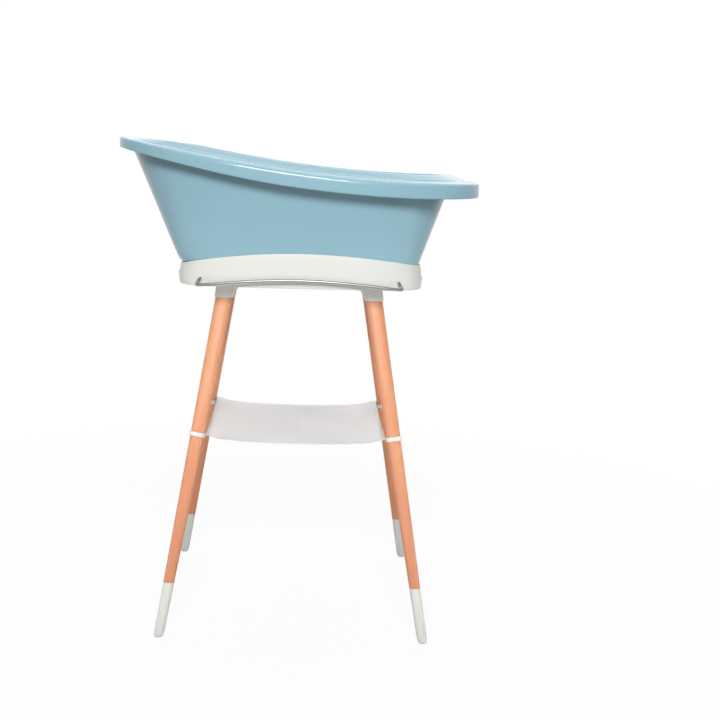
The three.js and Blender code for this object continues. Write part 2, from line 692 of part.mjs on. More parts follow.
for (const [corner, sideX, sideY] of CORNERS) {
  const outer = legSolid(sideX, sideY, [
    [loopLow(sideY), GAP + LOOP_WALL, 'square'],
    [loopHigh(sideY), GAP + LOOP_WALL, 'square'],
  ]);
  const inner = legSolid(sideX, sideY, levels(loopLow(sideY) - 15, loopHigh(sideY) + 15, 1, GAP));
  add(stand, `shelf_loop_${corner}`, toGeometry(outer.subtract(inner)), FABRIC);
}

// ---- Bath seat, standing in the tub with its head towards the high end ----

// A smooth line through [share, value] rows.
function profileLine(rows) {
  const [shares, values] = [0, 1].map((column) => rows.map((row) => row[column]));
  const line = new THREE.CubicInterpolant(shares, values, 1);
  return (share) => line.evaluate(share)[0];
}
const seatHalf = profileLine([
  [0, 26], [0.03, 39], [0.09, 44], [0.16, 56], [0.26, 102], [0.36, 116], [0.55, 113], [0.75, 116],
  [0.86, 105], [0.93, 85], [0.98, 55], [1, 30],
]);
const seatSpine = profileLine([
  [0, 44], [0.12, 43], [0.22, 33], [0.34, 29], [0.52, 33], [0.65, 62], [0.8, 122], [1, 196],
]);
const seatWing = profileLine([
  [0, 2], [0.12, 4], [0.2, 22], [0.3, 46], [0.55, 44], [0.8, 34], [1, 10],
]);
const POMMEL_SHARE = 0.2;
const POMMEL_HEIGHT = 26;

function seatTop(share, across) {
  const wing = seatWing(share) * smoothstep(Math.abs(across), 0.34, 0.82);
  const away = Math.hypot((share - POMMEL_SHARE) / 0.06, across / 0.3);
  const pommel = POMMEL_HEIGHT * (1 - smoothstep(away, 0.2, 1.2));
  return FLOOR_TOP_Z + seatSpine(share) + wing + pommel;
}
function seatSheet(under, over) {
  const sheet = new THREE.BoxGeometry(1, 2, 1, 28, 14, 1);
  return toSolid(warp(sheet, ({ x, y, z }) => {
    const share = x + 0.5;
    return new THREE.Vector3(
      lerp(SEAT_FOOT_X, SEAT_HEAD_X, share),
      y * seatHalf(share),
      seatTop(share, y) + (z > 0 ? over : -under),
    );
  }));
}

// Side panels: a front foot, an arch and a rear leg.
const SEAT_FOOT_Z = FLOOR_TOP_Z + GAP;
const PANEL_TOP_Z = FLOOR_TOP_Z + 150;
const side = new THREE.Shape();
side.moveTo(30, SEAT_FOOT_Z);
side.lineTo(-58, SEAT_FOOT_Z);
side.lineTo(-66, SEAT_FOOT_Z + 20);
side.quadraticCurveTo(-74, SEAT_FOOT_Z + 48, -106, SEAT_FOOT_Z + 52);
side.quadraticCurveTo(-130, SEAT_FOOT_Z + 50, -134, SEAT_FOOT_Z + 20);
side.lineTo(-138, SEAT_FOOT_Z);
side.lineTo(-158, SEAT_FOOT_Z);
side.lineTo(-168, SEAT_FOOT_Z + 14);
side.lineTo(-170, PANEL_TOP_Z);
side.lineTo(30, PANEL_TOP_Z);
const panel = (y) => {
  const geometry = new THREE.ExtrudeGeometry(side, {
    depth: SEAT_PANEL_T,
    bevelEnabled: false,
    curveSegments: 8,
  });
  return toSolid(geometry.rotateX(Math.PI / 2).translate(0, y + SEAT_PANEL_T / 2, 0));
};
const crossWall = (x) => toSolid(box(
  [x - SEAT_PANEL_T / 2, -SEAT_PANEL_Y, SEAT_FOOT_Z],
  [x + SEAT_PANEL_T / 2, SEAT_PANEL_Y, PANEL_TOP_Z],
));
const seatWalls = panel(-SEAT_PANEL_Y).add(panel(SEAT_PANEL_Y)).add(crossWall(27));
const seatShell = seatSheet(SEAT_T, 0).add(seatWalls.subtract(seatSheet(SEAT_T / 2, 300)));
add(model, 'seat_shell', toGeometry(seatShell), SEAT_BLUE);

const seatShare = (x) => (SEAT_FOOT_X - x) / (SEAT_FOOT_X - SEAT_HEAD_X);
const stemHeadEnds = [CUP_X - STEM_HEAD_R, CUP_X, CUP_X + STEM_HEAD_R];
const TONGUE_BASE_Z = Math.min(...stemHeadEnds.map((x) => seatTop(seatShare(x), 0))) - SEAT_T;
add(model, 'suction_cup', turned([
  [0, FLOOR_TOP_Z + GAP + 2],
  [CUP_R * 0.6, FLOOR_TOP_Z + GAP + 1.2],
  [CUP_R - 1, FLOOR_TOP_Z + GAP],
  [CUP_R, FLOOR_TOP_Z + GAP + 1.4],
  [CUP_R * 0.6, FLOOR_TOP_Z + GAP + 5],
  [STEM_R + 2, FLOOR_TOP_Z + CUP_HEIGHT],
  [0, FLOOR_TOP_Z + CUP_HEIGHT],
], CUP_X, 0, 0), RUBBER_GREY);
add(model, 'suction_stem', turned([
  [0, FLOOR_TOP_Z + CUP_HEIGHT + GAP],
  [STEM_R, FLOOR_TOP_Z + CUP_HEIGHT + GAP],
  [STEM_R, FLOOR_TOP_Z + CUP_HEIGHT + 8],
  [STEM_HEAD_R, TONGUE_BASE_Z - GAP - STEM_HEAD_T],
  [STEM_HEAD_R, TONGUE_BASE_Z - GAP],
  [0, TONGUE_BASE_Z - GAP],
], CUP_X, 0, 0, 24), RUBBER_GREY);

// ---- Drain hose, lying on the tub's floor round the plug ----

const HOSE_Z = FLOOR_TOP_Z + GAP + HOSE_R;
const HOSE_ROUTE = [
  [2, -96], [30, -96], [60, -96], [90, -96], [116, -96], [141, -93], [164, -83], [184, -68],
  [199, -48], [209, -25], [212, 0], [209, 25], [199, 48], [184, 68], [164, 83], [141, 93],
  [116, 96], [90, 96], [60, 96], [30, 96], [2, 96],
];
add(model, 'hose_tube', tube(HOSE_ROUTE.map(([x, y]) => [x, y, HOSE_Z]), HOSE_R, HOSE_STEPS, 10), WHITE);

const [connectorX, connectorY] = HOSE_ROUTE[0];
const connectorEnd = connectorX - GAP;
const plateX = connectorEnd - CONNECTOR_LENGTH;
const connectorBaseZ = FLOOR_TOP_Z + GAP;
const connector = toSolid(box(
  [plateX, connectorY - CONNECTOR_WIDTH / 2, connectorBaseZ],
  [connectorEnd, connectorY + CONNECTOR_WIDTH / 2, connectorBaseZ + CONNECTOR_WIDTH],
)).add(toSolid(box(
  [plateX - CONNECTOR_PLATE_T, connectorY - CONNECTOR_WIDTH / 2, connectorBaseZ],
  [plateX, connectorY + CONNECTOR_WIDTH / 2 + 4, connectorBaseZ + CONNECTOR_PLATE_HEIGHT],
)));
add(model, 'hose_connector', toGeometry(connector), WHITE);

export default model;
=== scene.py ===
import math

import bmesh
import bpy
import numpy as np
from bpy.props import FloatProperty, FloatVectorProperty, PointerProperty
from mathutils import Matrix, Vector


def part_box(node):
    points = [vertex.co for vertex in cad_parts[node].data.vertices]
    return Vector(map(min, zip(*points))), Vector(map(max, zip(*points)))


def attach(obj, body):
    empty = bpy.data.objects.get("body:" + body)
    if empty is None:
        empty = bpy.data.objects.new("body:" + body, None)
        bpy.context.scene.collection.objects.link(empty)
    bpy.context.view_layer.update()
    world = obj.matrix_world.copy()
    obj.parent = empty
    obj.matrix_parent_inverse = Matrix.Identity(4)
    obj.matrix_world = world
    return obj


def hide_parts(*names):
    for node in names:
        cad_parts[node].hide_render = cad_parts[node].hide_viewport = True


bl_info = {
    "name": "Baby bathtub on a stand",
    "version": (1, 0, 0),
    "blender": (4, 5, 0),
    "location": "3D View > Sidebar > Bathtub",
    "description": "Builds a baby bathtub, its stand, its seat and its hose round a fixed frame",
    "category": "Object",
}

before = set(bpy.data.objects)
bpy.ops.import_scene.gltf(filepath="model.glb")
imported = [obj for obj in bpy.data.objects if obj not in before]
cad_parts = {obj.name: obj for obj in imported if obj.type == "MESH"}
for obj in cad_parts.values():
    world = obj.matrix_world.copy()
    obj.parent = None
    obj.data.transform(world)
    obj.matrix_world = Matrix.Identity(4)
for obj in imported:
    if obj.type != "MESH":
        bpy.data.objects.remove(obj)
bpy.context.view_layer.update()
MM = 0.001


def limits(node):
    """The low and high corners of a frame piece's box, in millimetres."""
    return [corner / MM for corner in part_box(node)]


# ---- Sizes of the frame's pieces, in millimetres ----

GAP = 0.3
TUB_LOW, TUB_HIGH = limits("tub_shell")
HEAD_EDGE_Z, FOOT_EDGE_Z = 1060.0, 978.0
EDGE_DIP = (-59.0, -12.0)
CREST_RISE, HEAD_CREST_SHARE = 20.0, 0.3
SKIRT_DEPTH, SKIRT_DEPTH_HEAD = 28.0, 20.0
FLANGE_HEAD, FLANGE_SIDE, FLANGE_FOOT = 24.0, 46.0, 64.0
FOOT_LEAN, LIP_WIDTH, TUB_WALL = 2.0, 9.0, 3.6
TUB_BASE_Z = TUB_LOW.z
FLOOR_TOP_Z = TUB_BASE_Z + TUB_WALL
KNEE_RISE = (30.0, 14.0)
FLOOR_INSET = 90.0
DRAIN_X, DRAIN_HOLE_R = 165.0, 15.0
STAND_X = 5.0
RING_BASE_Z, RING_CREST_Z, RING_CREST_X, RING_ARCH, RING_ARCH_POWER = 752.0, 826.0, 16.0, 27.3, 2.1
RING_WALL, RING_BULGE, TUB_CLEARANCE = 3.0, 4.0, 0.8
LEDGE_WIDTH, LEDGE_T = 60.0, 6.0
RAIL_R, RAIL_HALF_SPAN, RAIL_HOOK, RAIL_STANDOFF = 3.1, 217.0, 6.0, 18.0
RAIL_END_Z, RAIL_MIDDLE_Z, RAIL_BORE_Z = 755.5, 771.5, 768.0
CAP_LENGTH, CAP_WALL, TOE_ROUND = 115.0, 2.2, 6.0
BOLT_R, BOLT_HEAD_R = 3.0, 7.0
SOCKET_WALL, SOCKET_BASE_Z = 2.4, 720.0
HOSE_R = 8.0
CORNERS = {"front_left": -1, "front_right": -1, "back_left": 1, "back_right": 1}


# ---- Shaders ----

class Value:
    """One socket of a graph, on which sums can be written."""

    def __init__(self, graph, socket):
        self.graph = graph
        self.socket = socket

    def beside(self, name):
        """Another output of the same node."""
        return Value(self.graph, self.socket.node.outputs[name])

    def sum(self, operation, *terms):
        return self.graph.node("ShaderNodeMath", dict(enumerate(terms)), operation=operation)

    def __add__(self, other):
        return self.sum("ADD", self, other)

    def __sub__(self, other):
        return self.sum("SUBTRACT", self, other)

    def __mul__(self, other):
        return self.sum("MULTIPLY", self, other)

    def __rsub__(self, other):
        return self.sum("SUBTRACT", other, self)

    __radd__ = __add__
    __rmul__ = __mul__

    def sine(self):
        return self.sum("SINE", self)

    def between(self, low, high):
        """0 under low, 1 over high and smooth in between."""
        return self.graph.node(
            "ShaderNodeMapRange", {"Value": self, "From Min": low, "From Max": high},
            interpolation_type="SMOOTHSTEP",
        )


class Graph:
    """A node tree in the making. One method adds any node."""

    def __init__(self, tree):
        self.tree = tree

    def node(self, kind, inputs=None, output=0, **settings):
        node = self.tree.nodes.new(kind)
        for name, value in settings.items():
            setattr(node, name, value)
        for key, value in (inputs or {}).items():
            if isinstance(value, Value):
                self.tree.links.new(value.socket, node.inputs[key])
            else:
                node.inputs[key].default_value = value
        return Value(self, node.outputs[output]) if node.outputs else None


class Shader(Graph):
    """A material or world in the making."""

    def __init__(self, owner):
        owner.use_nodes = True
        super().__init__(owner.node_tree)
        self.owner = owner
        self.tree.nodes.clear()

    def place(self):
        return self.node("ShaderNodeTexCoord", output="Object")

    def noise(self, scale, detail=2.0, stretch=None, turn=None, distortion=0.0):
        """Noise on Object coordinates, turned first and then stretched."""
        place = self.place()
        if turn is not None:
            place = self.node("ShaderNodeMapping", {"Vector": place, "Rotation": turn})
        if stretch is not None:
            place = self.node("ShaderNodeVectorMath", {0: place, 1: stretch}, operation="MULTIPLY")
        return self.node("ShaderNodeTexNoise", {
            "Vector": place, "Scale": scale, "Detail": detail, "Distortion": distortion,
        })

    def mix(self, share, first, second):
        return self.node("ShaderNodeMix", {0: share, 6: first, 7: second}, output=2, data_type="RGBA")

    def surface(self, colour, roughness, relief, depth, fixed=None):
        """The finished material, with a relief of a depth in metres."""
        bump = self.node("ShaderNodeBump", {"Distance": depth, "Height": relief})
        inputs = {"Base Color": colour, "Roughness": roughness, "Normal": bump, **(fixed or {})}
        shader = self.node("ShaderNodeBsdfPrincipled", inputs)
        self.node("ShaderNodeOutputMaterial", {"Surface": shader})
        return self.owner


def shade_of(colour, factor=1.0):
    """A colour made darker or lighter by a factor, with its alpha."""
    return (*(min(1.0, channel * factor) for channel in colour), 1.0)


def moulded_plastic(name, colour, roughness, coat=0.0, clouding=0.03):
    """Moulded plastic with faint clouding in the pigment and a fine orange-peel skin."""
    shader = Shader(bpy.data.materials.new(name))
    cloud = shader.noise(7.0, 3.0)
    skin_grain = shader.noise(420.0, 1.0)
    tone = shader.mix(cloud, shade_of(colour, 1 - clouding), shade_of(colour, 1 + clouding))
    rough = (cloud - 0.5) * 0.08 + (skin_grain - 0.5) * 0.06 + roughness
    relief = skin_grain + shader.noise(90.0) * 2.0
    fixed = {"Coat Weight": coat, "Coat Roughness": 0.06, "Specular IOR Level": 0.35}
    return shader.surface(tone, rough, relief, 0.00001, fixed)


def beech(name, light, dark, roughness, turn):
    """Beech with long faint figure, short dark flecks and a satin lacquer, and painted shade that makes it
    darker and redder lower down.
    """
    shader = Shader(bpy.data.materials.new(name))
    figure = shader.noise(1.0, 4.0, (34.0, 34.0, 2.2), turn, 0.8)
    fine = shader.noise(1.0, 3.0, (420.0, 420.0, 9.0), turn)
    fleck = shader.noise(1.0, 1.0, (900.0, 900.0, 110.0), turn).between(0.64, 0.72)
    height = shader.node("ShaderNodeSeparateXYZ", {0: shader.place()}, output="Z")
    tone = shader.mix(figure.between(0.32, 0.68), shade_of(dark), shade_of(light))
    tone = shader.mix(fine.between(0.35, 0.7) * 0.28, tone, shade_of(dark, 0.86))
    tone = shader.mix(fleck * 0.35, tone, shade_of(dark, 0.62))
    # Painted shade: towards the feet the wood is mixed into a darker, redder tone that stands in for the fall
    # of light.
    painted_low_shade = (dark[0] * 0.72, dark[1] * 0.67, dark[2] * 0.7, 1.0)
    tone = shader.mix((1 - height.between(0.1, 0.62)) * 0.75, tone, painted_low_shade)
    rough = (fine - 0.5) * 0.12 + roughness
    lacquer = {"Coat Weight": 0.15, "Coat Roughness": 0.3}
    return shader.surface(tone, rough, fine - fleck * 0.5, 0.00012, lacquer)


def satin_steel(name, colour, roughness):
    """Drawn steel wire: bright metal with fine streaks along it and faint clouding."""
    shader = Shader(bpy.data.materials.new(name))
    streak = shader.noise(1.0, 2.0, (25.0, 900.0, 900.0))
    cloud = shader.noise(40.0)
    tone = shader.mix(cloud, shade_of(colour, 0.92), shade_of(colour, 1.06))
    rough = (streak - 0.5) * 0.18 + roughness
    return shader.surface(tone, rough, streak, 0.00002, {"Metallic": 1.0})


def woven(name, colour, pitch, open_share=0.0):
    """A plain weave of threads, a pitch apart both ways, with slubs and some light through it."""
    shader = Shader(bpy.data.materials.new(name))
    split = shader.node("ShaderNodeSeparateXYZ", {0: shader.place()}, output="X")
    across = split.beside("Y")
    frequency = 2 * math.pi / pitch
    weave = (split * frequency).sine() * (across * frequency).sine() * 0.5 + 0.5
    slub = shader.noise(60.0, 3.0)
    tone = shader.mix(weave * 0.5 + slub * 0.5, shade_of(colour, 0.93), shade_of(colour, 1.04))
    rough = (slub - 0.5) * 0.1 + 0.85
    fixed = {"Sheen Weight": 0.2}
    if open_share:
        fixed["Alpha"] = 1 - weave.between(0.25, 0.9) * (2 * open_share)
    return shader.surface(tone, rough, weave + slub * 0.6, 0.00015, fixed)


def rubber(name, colour, roughness):
    """Soft moulded rubber with a dusty bloom."""
    shader = Shader(bpy.data.materials.new(name))
    bloom = shader.noise(35.0, 4.0)
    grain = shader.noise(700.0, 1.0)
    tone = shader.mix(bloom, shade_of(colour, 0.9), shade_of(colour, 1.12))
    rough = (bloom - 0.5) * 0.2 + roughness
    return shader.surface(tone, rough, grain, 0.00004)


# ---- Meshes ----

def outwards(mesh):
    """Doubles merged and every face turned outwards."""
    body = bmesh.new()
    body.from_mesh(mesh)
    bmesh.ops.remove_doubles(body, verts=body.verts, dist=1e-6)
    bmesh.ops.recalc_face_normals(body, faces=body.faces)
    body.to_mesh(mesh)
    body.free()


def new_object(name, points, faces, edges=()):
    """An object from points in millimetres."""
    mesh = bpy.data.meshes.new(name)
    mesh.from_pydata([tuple(float(value) * MM for value in point) for point in points], edges, faces)
    obj = bpy.data.objects.new(name, mesh)
    bpy.context.scene.collection.objects.link(obj)
    if faces:
        outwards(mesh)
    return obj


def skin(name, rings, hoop=False, start=None, end=None):
    """A closed skin through rings of points, with a pole at each end or joined into a hoop."""
    count = len(rings[0])
    points = [point for ring in rings for point in ring]
    steps = list(zip(range(len(rings) - 1), range(1, len(rings))))
    if hoop:
        steps.append((len(rings) - 1, 0))
    faces = [
        (a * count + i, a * count + (i + 1) % count, b * count + (i + 1) % count, b * count + i)
        for a, b in steps for i in range(count)
    ]
    for pole, ring in ((start, 0), (end, len(rings) - 1)):
        if pole is not None:
            points.append(pole)
            hub = len(points) - 1
            faces += [(hub, ring * count + i, ring * count + (i + 1) % count) for i in range(count)]
    return new_object(name, points, faces)


def applied(obj):
    """The object with its modifiers made part of its mesh."""
    bpy.context.view_layer.update()
    seen = obj.evaluated_get(bpy.context.evaluated_depsgraph_get())
    mesh = bpy.data.meshes.new_from_object(seen)
    obj.modifiers.clear()
    obj.data = mesh
    return obj


def subdivided(obj):
    modifier = obj.modifiers.new("Smooth", "SUBSURF")
    modifier.levels = modifier.render_levels = 1
    return applied(obj)


def bevelled(obj, width, segments=3, degrees=30.0):
    modifier = obj.modifiers.new("Bevel", "BEVEL")
    modifier.width = width * MM
    modifier.segments = segments
    modifier.limit_method = "ANGLE"
    modifier.angle_limit = math.radians(degrees)
    return applied(obj)


def combined(obj, operation, tools):
    """The object joined with, or cut by, other objects, which are used up."""
    for tool in tools:
        modifier = obj.modifiers.new("Combine", "BOOLEAN")
        modifier.operation = operation
        modifier.solver = "EXACT"
        modifier.object = tool
        applied(obj)
        bpy.data.objects.remove(tool)
    return obj


def joined(obj, *tools):
    return combined(obj, "UNION", tools)


def cut(obj, *tools):
    return combined(obj, "DIFFERENCE", tools)


def block(name, low, high):
    """A plain block between two corners, for joining and cutting."""
    points = [(x, y, z) for x in (low[0], high[0]) for y in (low[1], high[1]) for z in (low[2], high[2])]
    faces = [(0, 1, 3, 2), (4, 6, 7, 5), (0, 4, 5, 1), (2, 3, 7, 6), (0, 2, 6, 4), (1, 5, 7, 3)]
    return new_object(name, points, faces)


def full_turn(sides):
    """Evenly spaced angles round a full turn."""
    return np.arange(sides) * 2 * math.pi / sides


def turned(name, profile, x=0.0, y=0.0, sides=96):
    """A turned piece from radius and height pairs. A profile that leaves the axis is a hoop."""
    turns = full_turn(sides)
    solid = profile[0][0] == 0
    rows = profile[1:-1] if solid else profile
    rings = [
        np.stack([x + r * np.cos(turns), y + r * np.sin(turns), np.full(sides, float(z))], 1)
        for r, z in rows
    ]
    poles = [(x, y, profile[i][1]) for i in (0, -1)] if solid else (None, None)
    return skin(name, rings, not solid, *poles)


def cylinder(radius, low, high, x=0.0, y=0.0, sides=96):
    """A plain upright cylinder, for cutting."""
    return turned("cylinder", [(0, low), (radius, low), (radius, high), (0, high)], x, y, sides)


def placed(obj, place, angle, axis):
    """The object turned about an axis and then moved to a place in millimetres."""
    obj.data.transform(Matrix.Translation(Vector(place) * MM) @ Matrix.Rotation(angle, 4, axis))
    return obj


def sheet_between(name, top, bottom):
    """A closed sheet between two grids of points, each given row by row."""
    rows, columns = top.shape[:2]
    count = columns * rows
    faces = []
    for j in range(rows - 1):
        for i in range(columns - 1):
            a = j * columns + i
            faces.append((a, a + 1, a + columns + 1, a + columns))
            faces.append((a + count, a + columns + count, a + columns + 1 + count, a + 1 + count))
    border = [*range(columns - 1), *range(columns - 1, count - 1, columns),
              *range(count - 1, count - columns, -1), *range(count - columns, 0, -columns)]
    for a, b in zip(border, border[1:] + border[:1]):
        faces.append((a, b, b + count, a + count))
    return new_object(name, [*top.reshape(-1, 3), *bottom.reshape(-1, 3)], faces)


def painted(obj, material):
    obj.data.materials.clear()
    obj.data.materials.append(material)


def finished(obj, material, body, replaces=(), degrees=38.0):
    """The object with its material and its sharp edges, handed to the frame."""
    painted(obj, material)
    obj.data.shade_smooth()
    obj.data.set_sharp_from_angle(angle=math.radians(degrees))
    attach(obj, body)
    if replaces:
        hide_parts(*replaces)
    return obj


# ---- Geometry Nodes ----

class Tree(Graph):
    """A Geometry Nodes tree in the making, with named inputs."""

    def __init__(self, name, **inputs):
        super().__init__(bpy.data.node_groups.new(name, "GeometryNodeTree"))
        socket = self.tree.interface.new_socket
        socket("Geometry", in_out="INPUT", socket_type="NodeSocketGeometry")
        socket("Geometry", in_out="OUTPUT", socket_type="NodeSocketGeometry")
        for label, kind in inputs.items():
            socket(label, in_out="INPUT", socket_type=f"NodeSocket{kind}")
        given = self.tree.nodes.new("NodeGroupInput").outputs
        self.inputs = {name: Value(self, given[name]) for name in ("Geometry", *inputs)}

    def finish(self, geometry):
        """The tree with its pieces made real and given the material."""
        geometry = self.node("GeometryNodeRealizeInstances", {0: geometry})
        geometry = self.node("GeometryNodeSetMaterial", {
            "Geometry": geometry, "Material": self.inputs["Material"],
        })
        self.node("NodeGroupOutput", {0: geometry})
        return self.tree


def along(obj, tree, **values):
    """The object's line run through a tree, and made a plain mesh."""
    modifier = obj.modifiers.new("Along", "NODES")
    modifier.node_group = tree
    for item in tree.interface.items_tree:
        if item.in_out == "INPUT" and item.name in values:
            modifier[item.identifier] = values[item.name]
    applied(obj)
    outwards(obj.data)
    return obj


def rod_tree():
    """A round rod along a line."""
    tree = Tree("Rod along a line", Radius="Float", Sides="Int", Material="Material")
    line = tree.node("GeometryNodeMeshToCurve", {0: tree.inputs["Geometry"]})
    ring = tree.node("GeometryNodeCurvePrimitiveCircle", {
        "Resolution": tree.inputs["Sides"], "Radius": tree.inputs["Radius"],
    })
    return tree.finish(tree.node("GeometryNodeCurveToMesh", {
        "Curve": line, "Profile Curve": ring, "Fill Caps": True,
    }))


def stitch_tree():
    """Stitches along a line, a pitch apart."""
    tree = Tree("Stitches along a line", Pitch="Float", Length="Float", Thread="Float", Material="Material")
    line = tree.node("GeometryNodeMeshToCurve", {0: tree.inputs["Geometry"]})
    points = tree.node(
        "GeometryNodeCurveToPoints", {"Curve": line, "Length": tree.inputs["Pitch"]}, mode="LENGTH",
    )
    turn = points.beside("Rotation")
    bead = tree.node("GeometryNodeMeshUVSphere", {"Segments": 8, "Rings": 6, "Radius": 1.0})
    size = tree.node("ShaderNodeCombineXYZ", {
        "X": tree.inputs["Thread"], "Y": tree.inputs["Thread"], "Z": tree.inputs["Length"],
    })
    return tree.finish(tree.node("GeometryNodeInstanceOnPoints", {
        "Points": points, "Instance": bead, "Rotation": turn, "Scale": size,
    }))


def line_object(name, points, closed=False):
    """A line of edges through points, open or closed."""
    count = len(points)
    edges = [(i, (i + 1) % count) for i in range(count if closed else count - 1)]
    return new_object(name, points, [], edges)


def rod(name, points, radius, sides, material, closed=False):
    """A round rod along a line of points."""
    line = line_object(name, points, closed)
    return along(line, rod_tree(), Radius=radius * MM, Sides=sides, Material=material)


def smooth_line(points, count):
    """Evenly spaced points along a centripetal curve through the given ones."""
    given = np.array(points, float)
    ends = (2 * given[0] - given[1], 2 * given[-1] - given[-2])
    knots = np.vstack([ends[0], given, ends[1]])
    spans = np.linalg.norm(np.diff(knots, axis=0), axis=1)[:, None] ** 0.5
    fine_steps = 40
    shares = np.linspace(0, 1, fine_steps, endpoint=False)[:, None]
    pieces = []
    for i in range(1, len(knots) - 2):
        before, here, after, last = knots[i - 1:i + 3]
        d0, d1, d2 = spans[i - 1], spans[i], spans[i + 1]
        leave = ((here - before) / d0 - (after - before) / (d0 + d1) + (after - here) / d1) * d1
        arrive = ((after - here) / d1 - (last - here) / (d1 + d2) + (last - after) / d2) * d1
        s2, s3 = shares ** 2, shares ** 3
        pieces.append(
            (2 * s3 - 3 * s2 + 1) * here + (s3 - 2 * s2 + shares) * leave
            + (3 * s2 - 2 * s3) * after + (s3 - s2) * arrive
        )
    fine = np.vstack([*pieces, given[-1:]])
    run = np.concatenate([[0], np.cumsum(np.linalg.norm(np.diff(fine, axis=0), axis=1))])
    even = np.linspace(0, run[-1], count)
    return np.stack([np.interp(even, run, fine[:, axis]) for axis in range(3)], 1)


def profile_line(rows):
    """A smooth function through share and value rows."""
    shares, values = np.array(rows, float).T
    slopes = np.gradient(values, shares)
    slopes[1:-1] = (values[2:] - values[:-2]) / (shares[2:] - shares[:-2])

    def at(share):
        share = np.clip(share, 0, 1)
        i = np.clip(np.searchsorted(shares, share, "right") - 1, 0, len(shares) - 2)
        width = shares[i + 1] - shares[i]
        t = (share - shares[i]) / width
        return (
            (2 * t ** 3 - 3 * t ** 2 + 1) * values[i] + (t ** 3 - 2 * t ** 2 + t) * width * slopes[i]
            + (3 * t ** 2 - 2 * t ** 3) * values[i + 1] + (t ** 3 - t ** 2) * width * slopes[i + 1]
        )
    return at


def smoothstep(value, low, high):
    t = np.clip((value - low) / (high - low), 0, 1)
    return t * t * (3 - 2 * t)


# ---- The shapes of the tub and the ring ----

class Plan:
    """A rounded oblong seen from above, between two ends."""

    def __init__(self, left, right, half, power):
        self.left, self.right, self.half, self.power = left, right, half, power
        self.middle, self.reach = (left + right) / 2, (right - left) / 2

    def grown(self, by):
        return Plan(self.left - by, self.right + by, self.half + by, self.power)

    def at(self, turns, inset=0.0):
        """Points at the turns, on the outline or inside it."""
        bend = [np.sign(v) * np.abs(v) ** (2 / self.power) for v in (np.cos(turns), np.sin(turns))]
        return self.middle + (self.reach - inset) * bend[0], (self.half - inset) * bend[1]


RIM_POWER, KNEE_POWER, LEG_POWER = 3.0, 5.5, 3.2
EDGE = Plan(TUB_LOW.x, TUB_HIGH.x, TUB_HIGH.y, RIM_POWER)
CREST = Plan(EDGE.left + FLANGE_HEAD, EDGE.right - FLANGE_FOOT, EDGE.half - FLANGE_SIDE, RIM_POWER)
WALL = Plan(
    CREST.left - LIP_WIDTH / 2, CREST.right + LIP_WIDTH / 2 - FOOT_LEAN, CREST.half + LIP_WIDTH / 2,
    RIM_POWER,
)
KNEE = Plan(-264.0, 263.0, 150.0, KNEE_POWER)


def even_turns(count):
    """Turns at which points lie evenly along the tub's outlines."""
    share = np.linspace(0, 1, 600)
    quarter = math.pi / 2 * share ** 3 / (share ** 3 + (1 - share) ** 3)
    length = np.zeros(len(quarter))
    for plan in (EDGE, KNEE):
        steps = np.hypot(*(np.diff(v) for v in plan.at(quarter)))
        length[1:] += np.cumsum(steps) / steps.sum()
    part = np.interp(np.linspace(0, length[-1], count // 4 + 1), length, quarter)[:-1]
    return np.concatenate([part + i * math.pi / 2 if i % 2 == 0 else
                           (i + 1) * math.pi / 2 - np.append(part, math.pi / 2)[:0:-1]
                           for i in range(4)])


TURNS = even_turns(128)


def ring_of(x, y, z):
    """Points from their coordinates, any of which may be one number for all."""
    return np.stack(np.broadcast_arrays(x, y, z), 1).astype(float)


def edge_height(x):
    """Height of the tub's outer edge, which falls from the head end to the foot end."""
    t = np.clip((x - EDGE.left) / (EDGE.right - EDGE.left), 0, 1)
    heights = (HEAD_EDGE_Z, HEAD_EDGE_Z + EDGE_DIP[0], FOOT_EDGE_Z + EDGE_DIP[1], FOOT_EDGE_Z)
    weights = ((1 - t) ** 3, 3 * t * (1 - t) ** 2, 3 * t * t * (1 - t), t ** 3)
    return sum(h * w for h, w in zip(heights, weights))


def wall_head(inset=0.0, drop=0.0, turns=TURNS):
    x, y = WALL.grown(-inset).at(turns)
    return ring_of(x, y, edge_height(x) - drop)


def wall_knee(inset=0.0, turns=TURNS):
    x, y = KNEE.grown(-inset).at(turns)
    rise = KNEE_RISE[0] + (KNEE_RISE[1] - KNEE_RISE[0]) * (x - KNEE.left) / (KNEE.right - KNEE.left)
    return ring_of(x, y, TUB_BASE_Z + rise)


def wall_between(share, inset=0.0):
    return wall_knee(inset) * (1 - share) + wall_head(inset) * share


def fillet(share, inset=0.0, turns=TURNS):
    """The turn between wall and floor, from the knee at 0 to the flat floor at 1."""
    knee, head = wall_knee(inset, turns), wall_head(inset, turns=turns)
    lean = np.arctan2(np.hypot(*(head - knee)[:, :2].T), head[:, 2] - knee[:, 2])
    radius = (knee[:, 2] - TUB_BASE_Z - inset) / (1 - np.sin(lean))
    angle = lean + (math.pi / 2 - lean) * share
    inwards = radius * (np.cos(lean) - np.cos(angle))
    x, y = KNEE.at(turns, inset + inwards)
    return ring_of(x, y, knee[:, 2] - radius * (np.sin(angle) - np.sin(lean)))


def outer_wall(z, turns=TURNS):
    """Points on the tub's outer wall at each turn's height z."""
    knee, head = wall_knee(turns=turns), wall_head(turns=turns)
    share = ((z - knee[:, 2]) / (head[:, 2] - knee[:, 2]))[:, None]
    straight = knee + (head - knee) * share
    low, high = np.zeros(len(turns)), np.ones(len(turns))
    halvings = 24
    for _ in range(halvings):
        middle = (low + high) / 2
        above = fillet(middle, turns=turns)[:, 2] > np.maximum(z, TUB_BASE_Z)
        low, high = np.where(above, middle, low), np.where(above, high, middle)
    return np.where((z >= knee[:, 2])[:, None], straight, fillet(low, turns=turns))


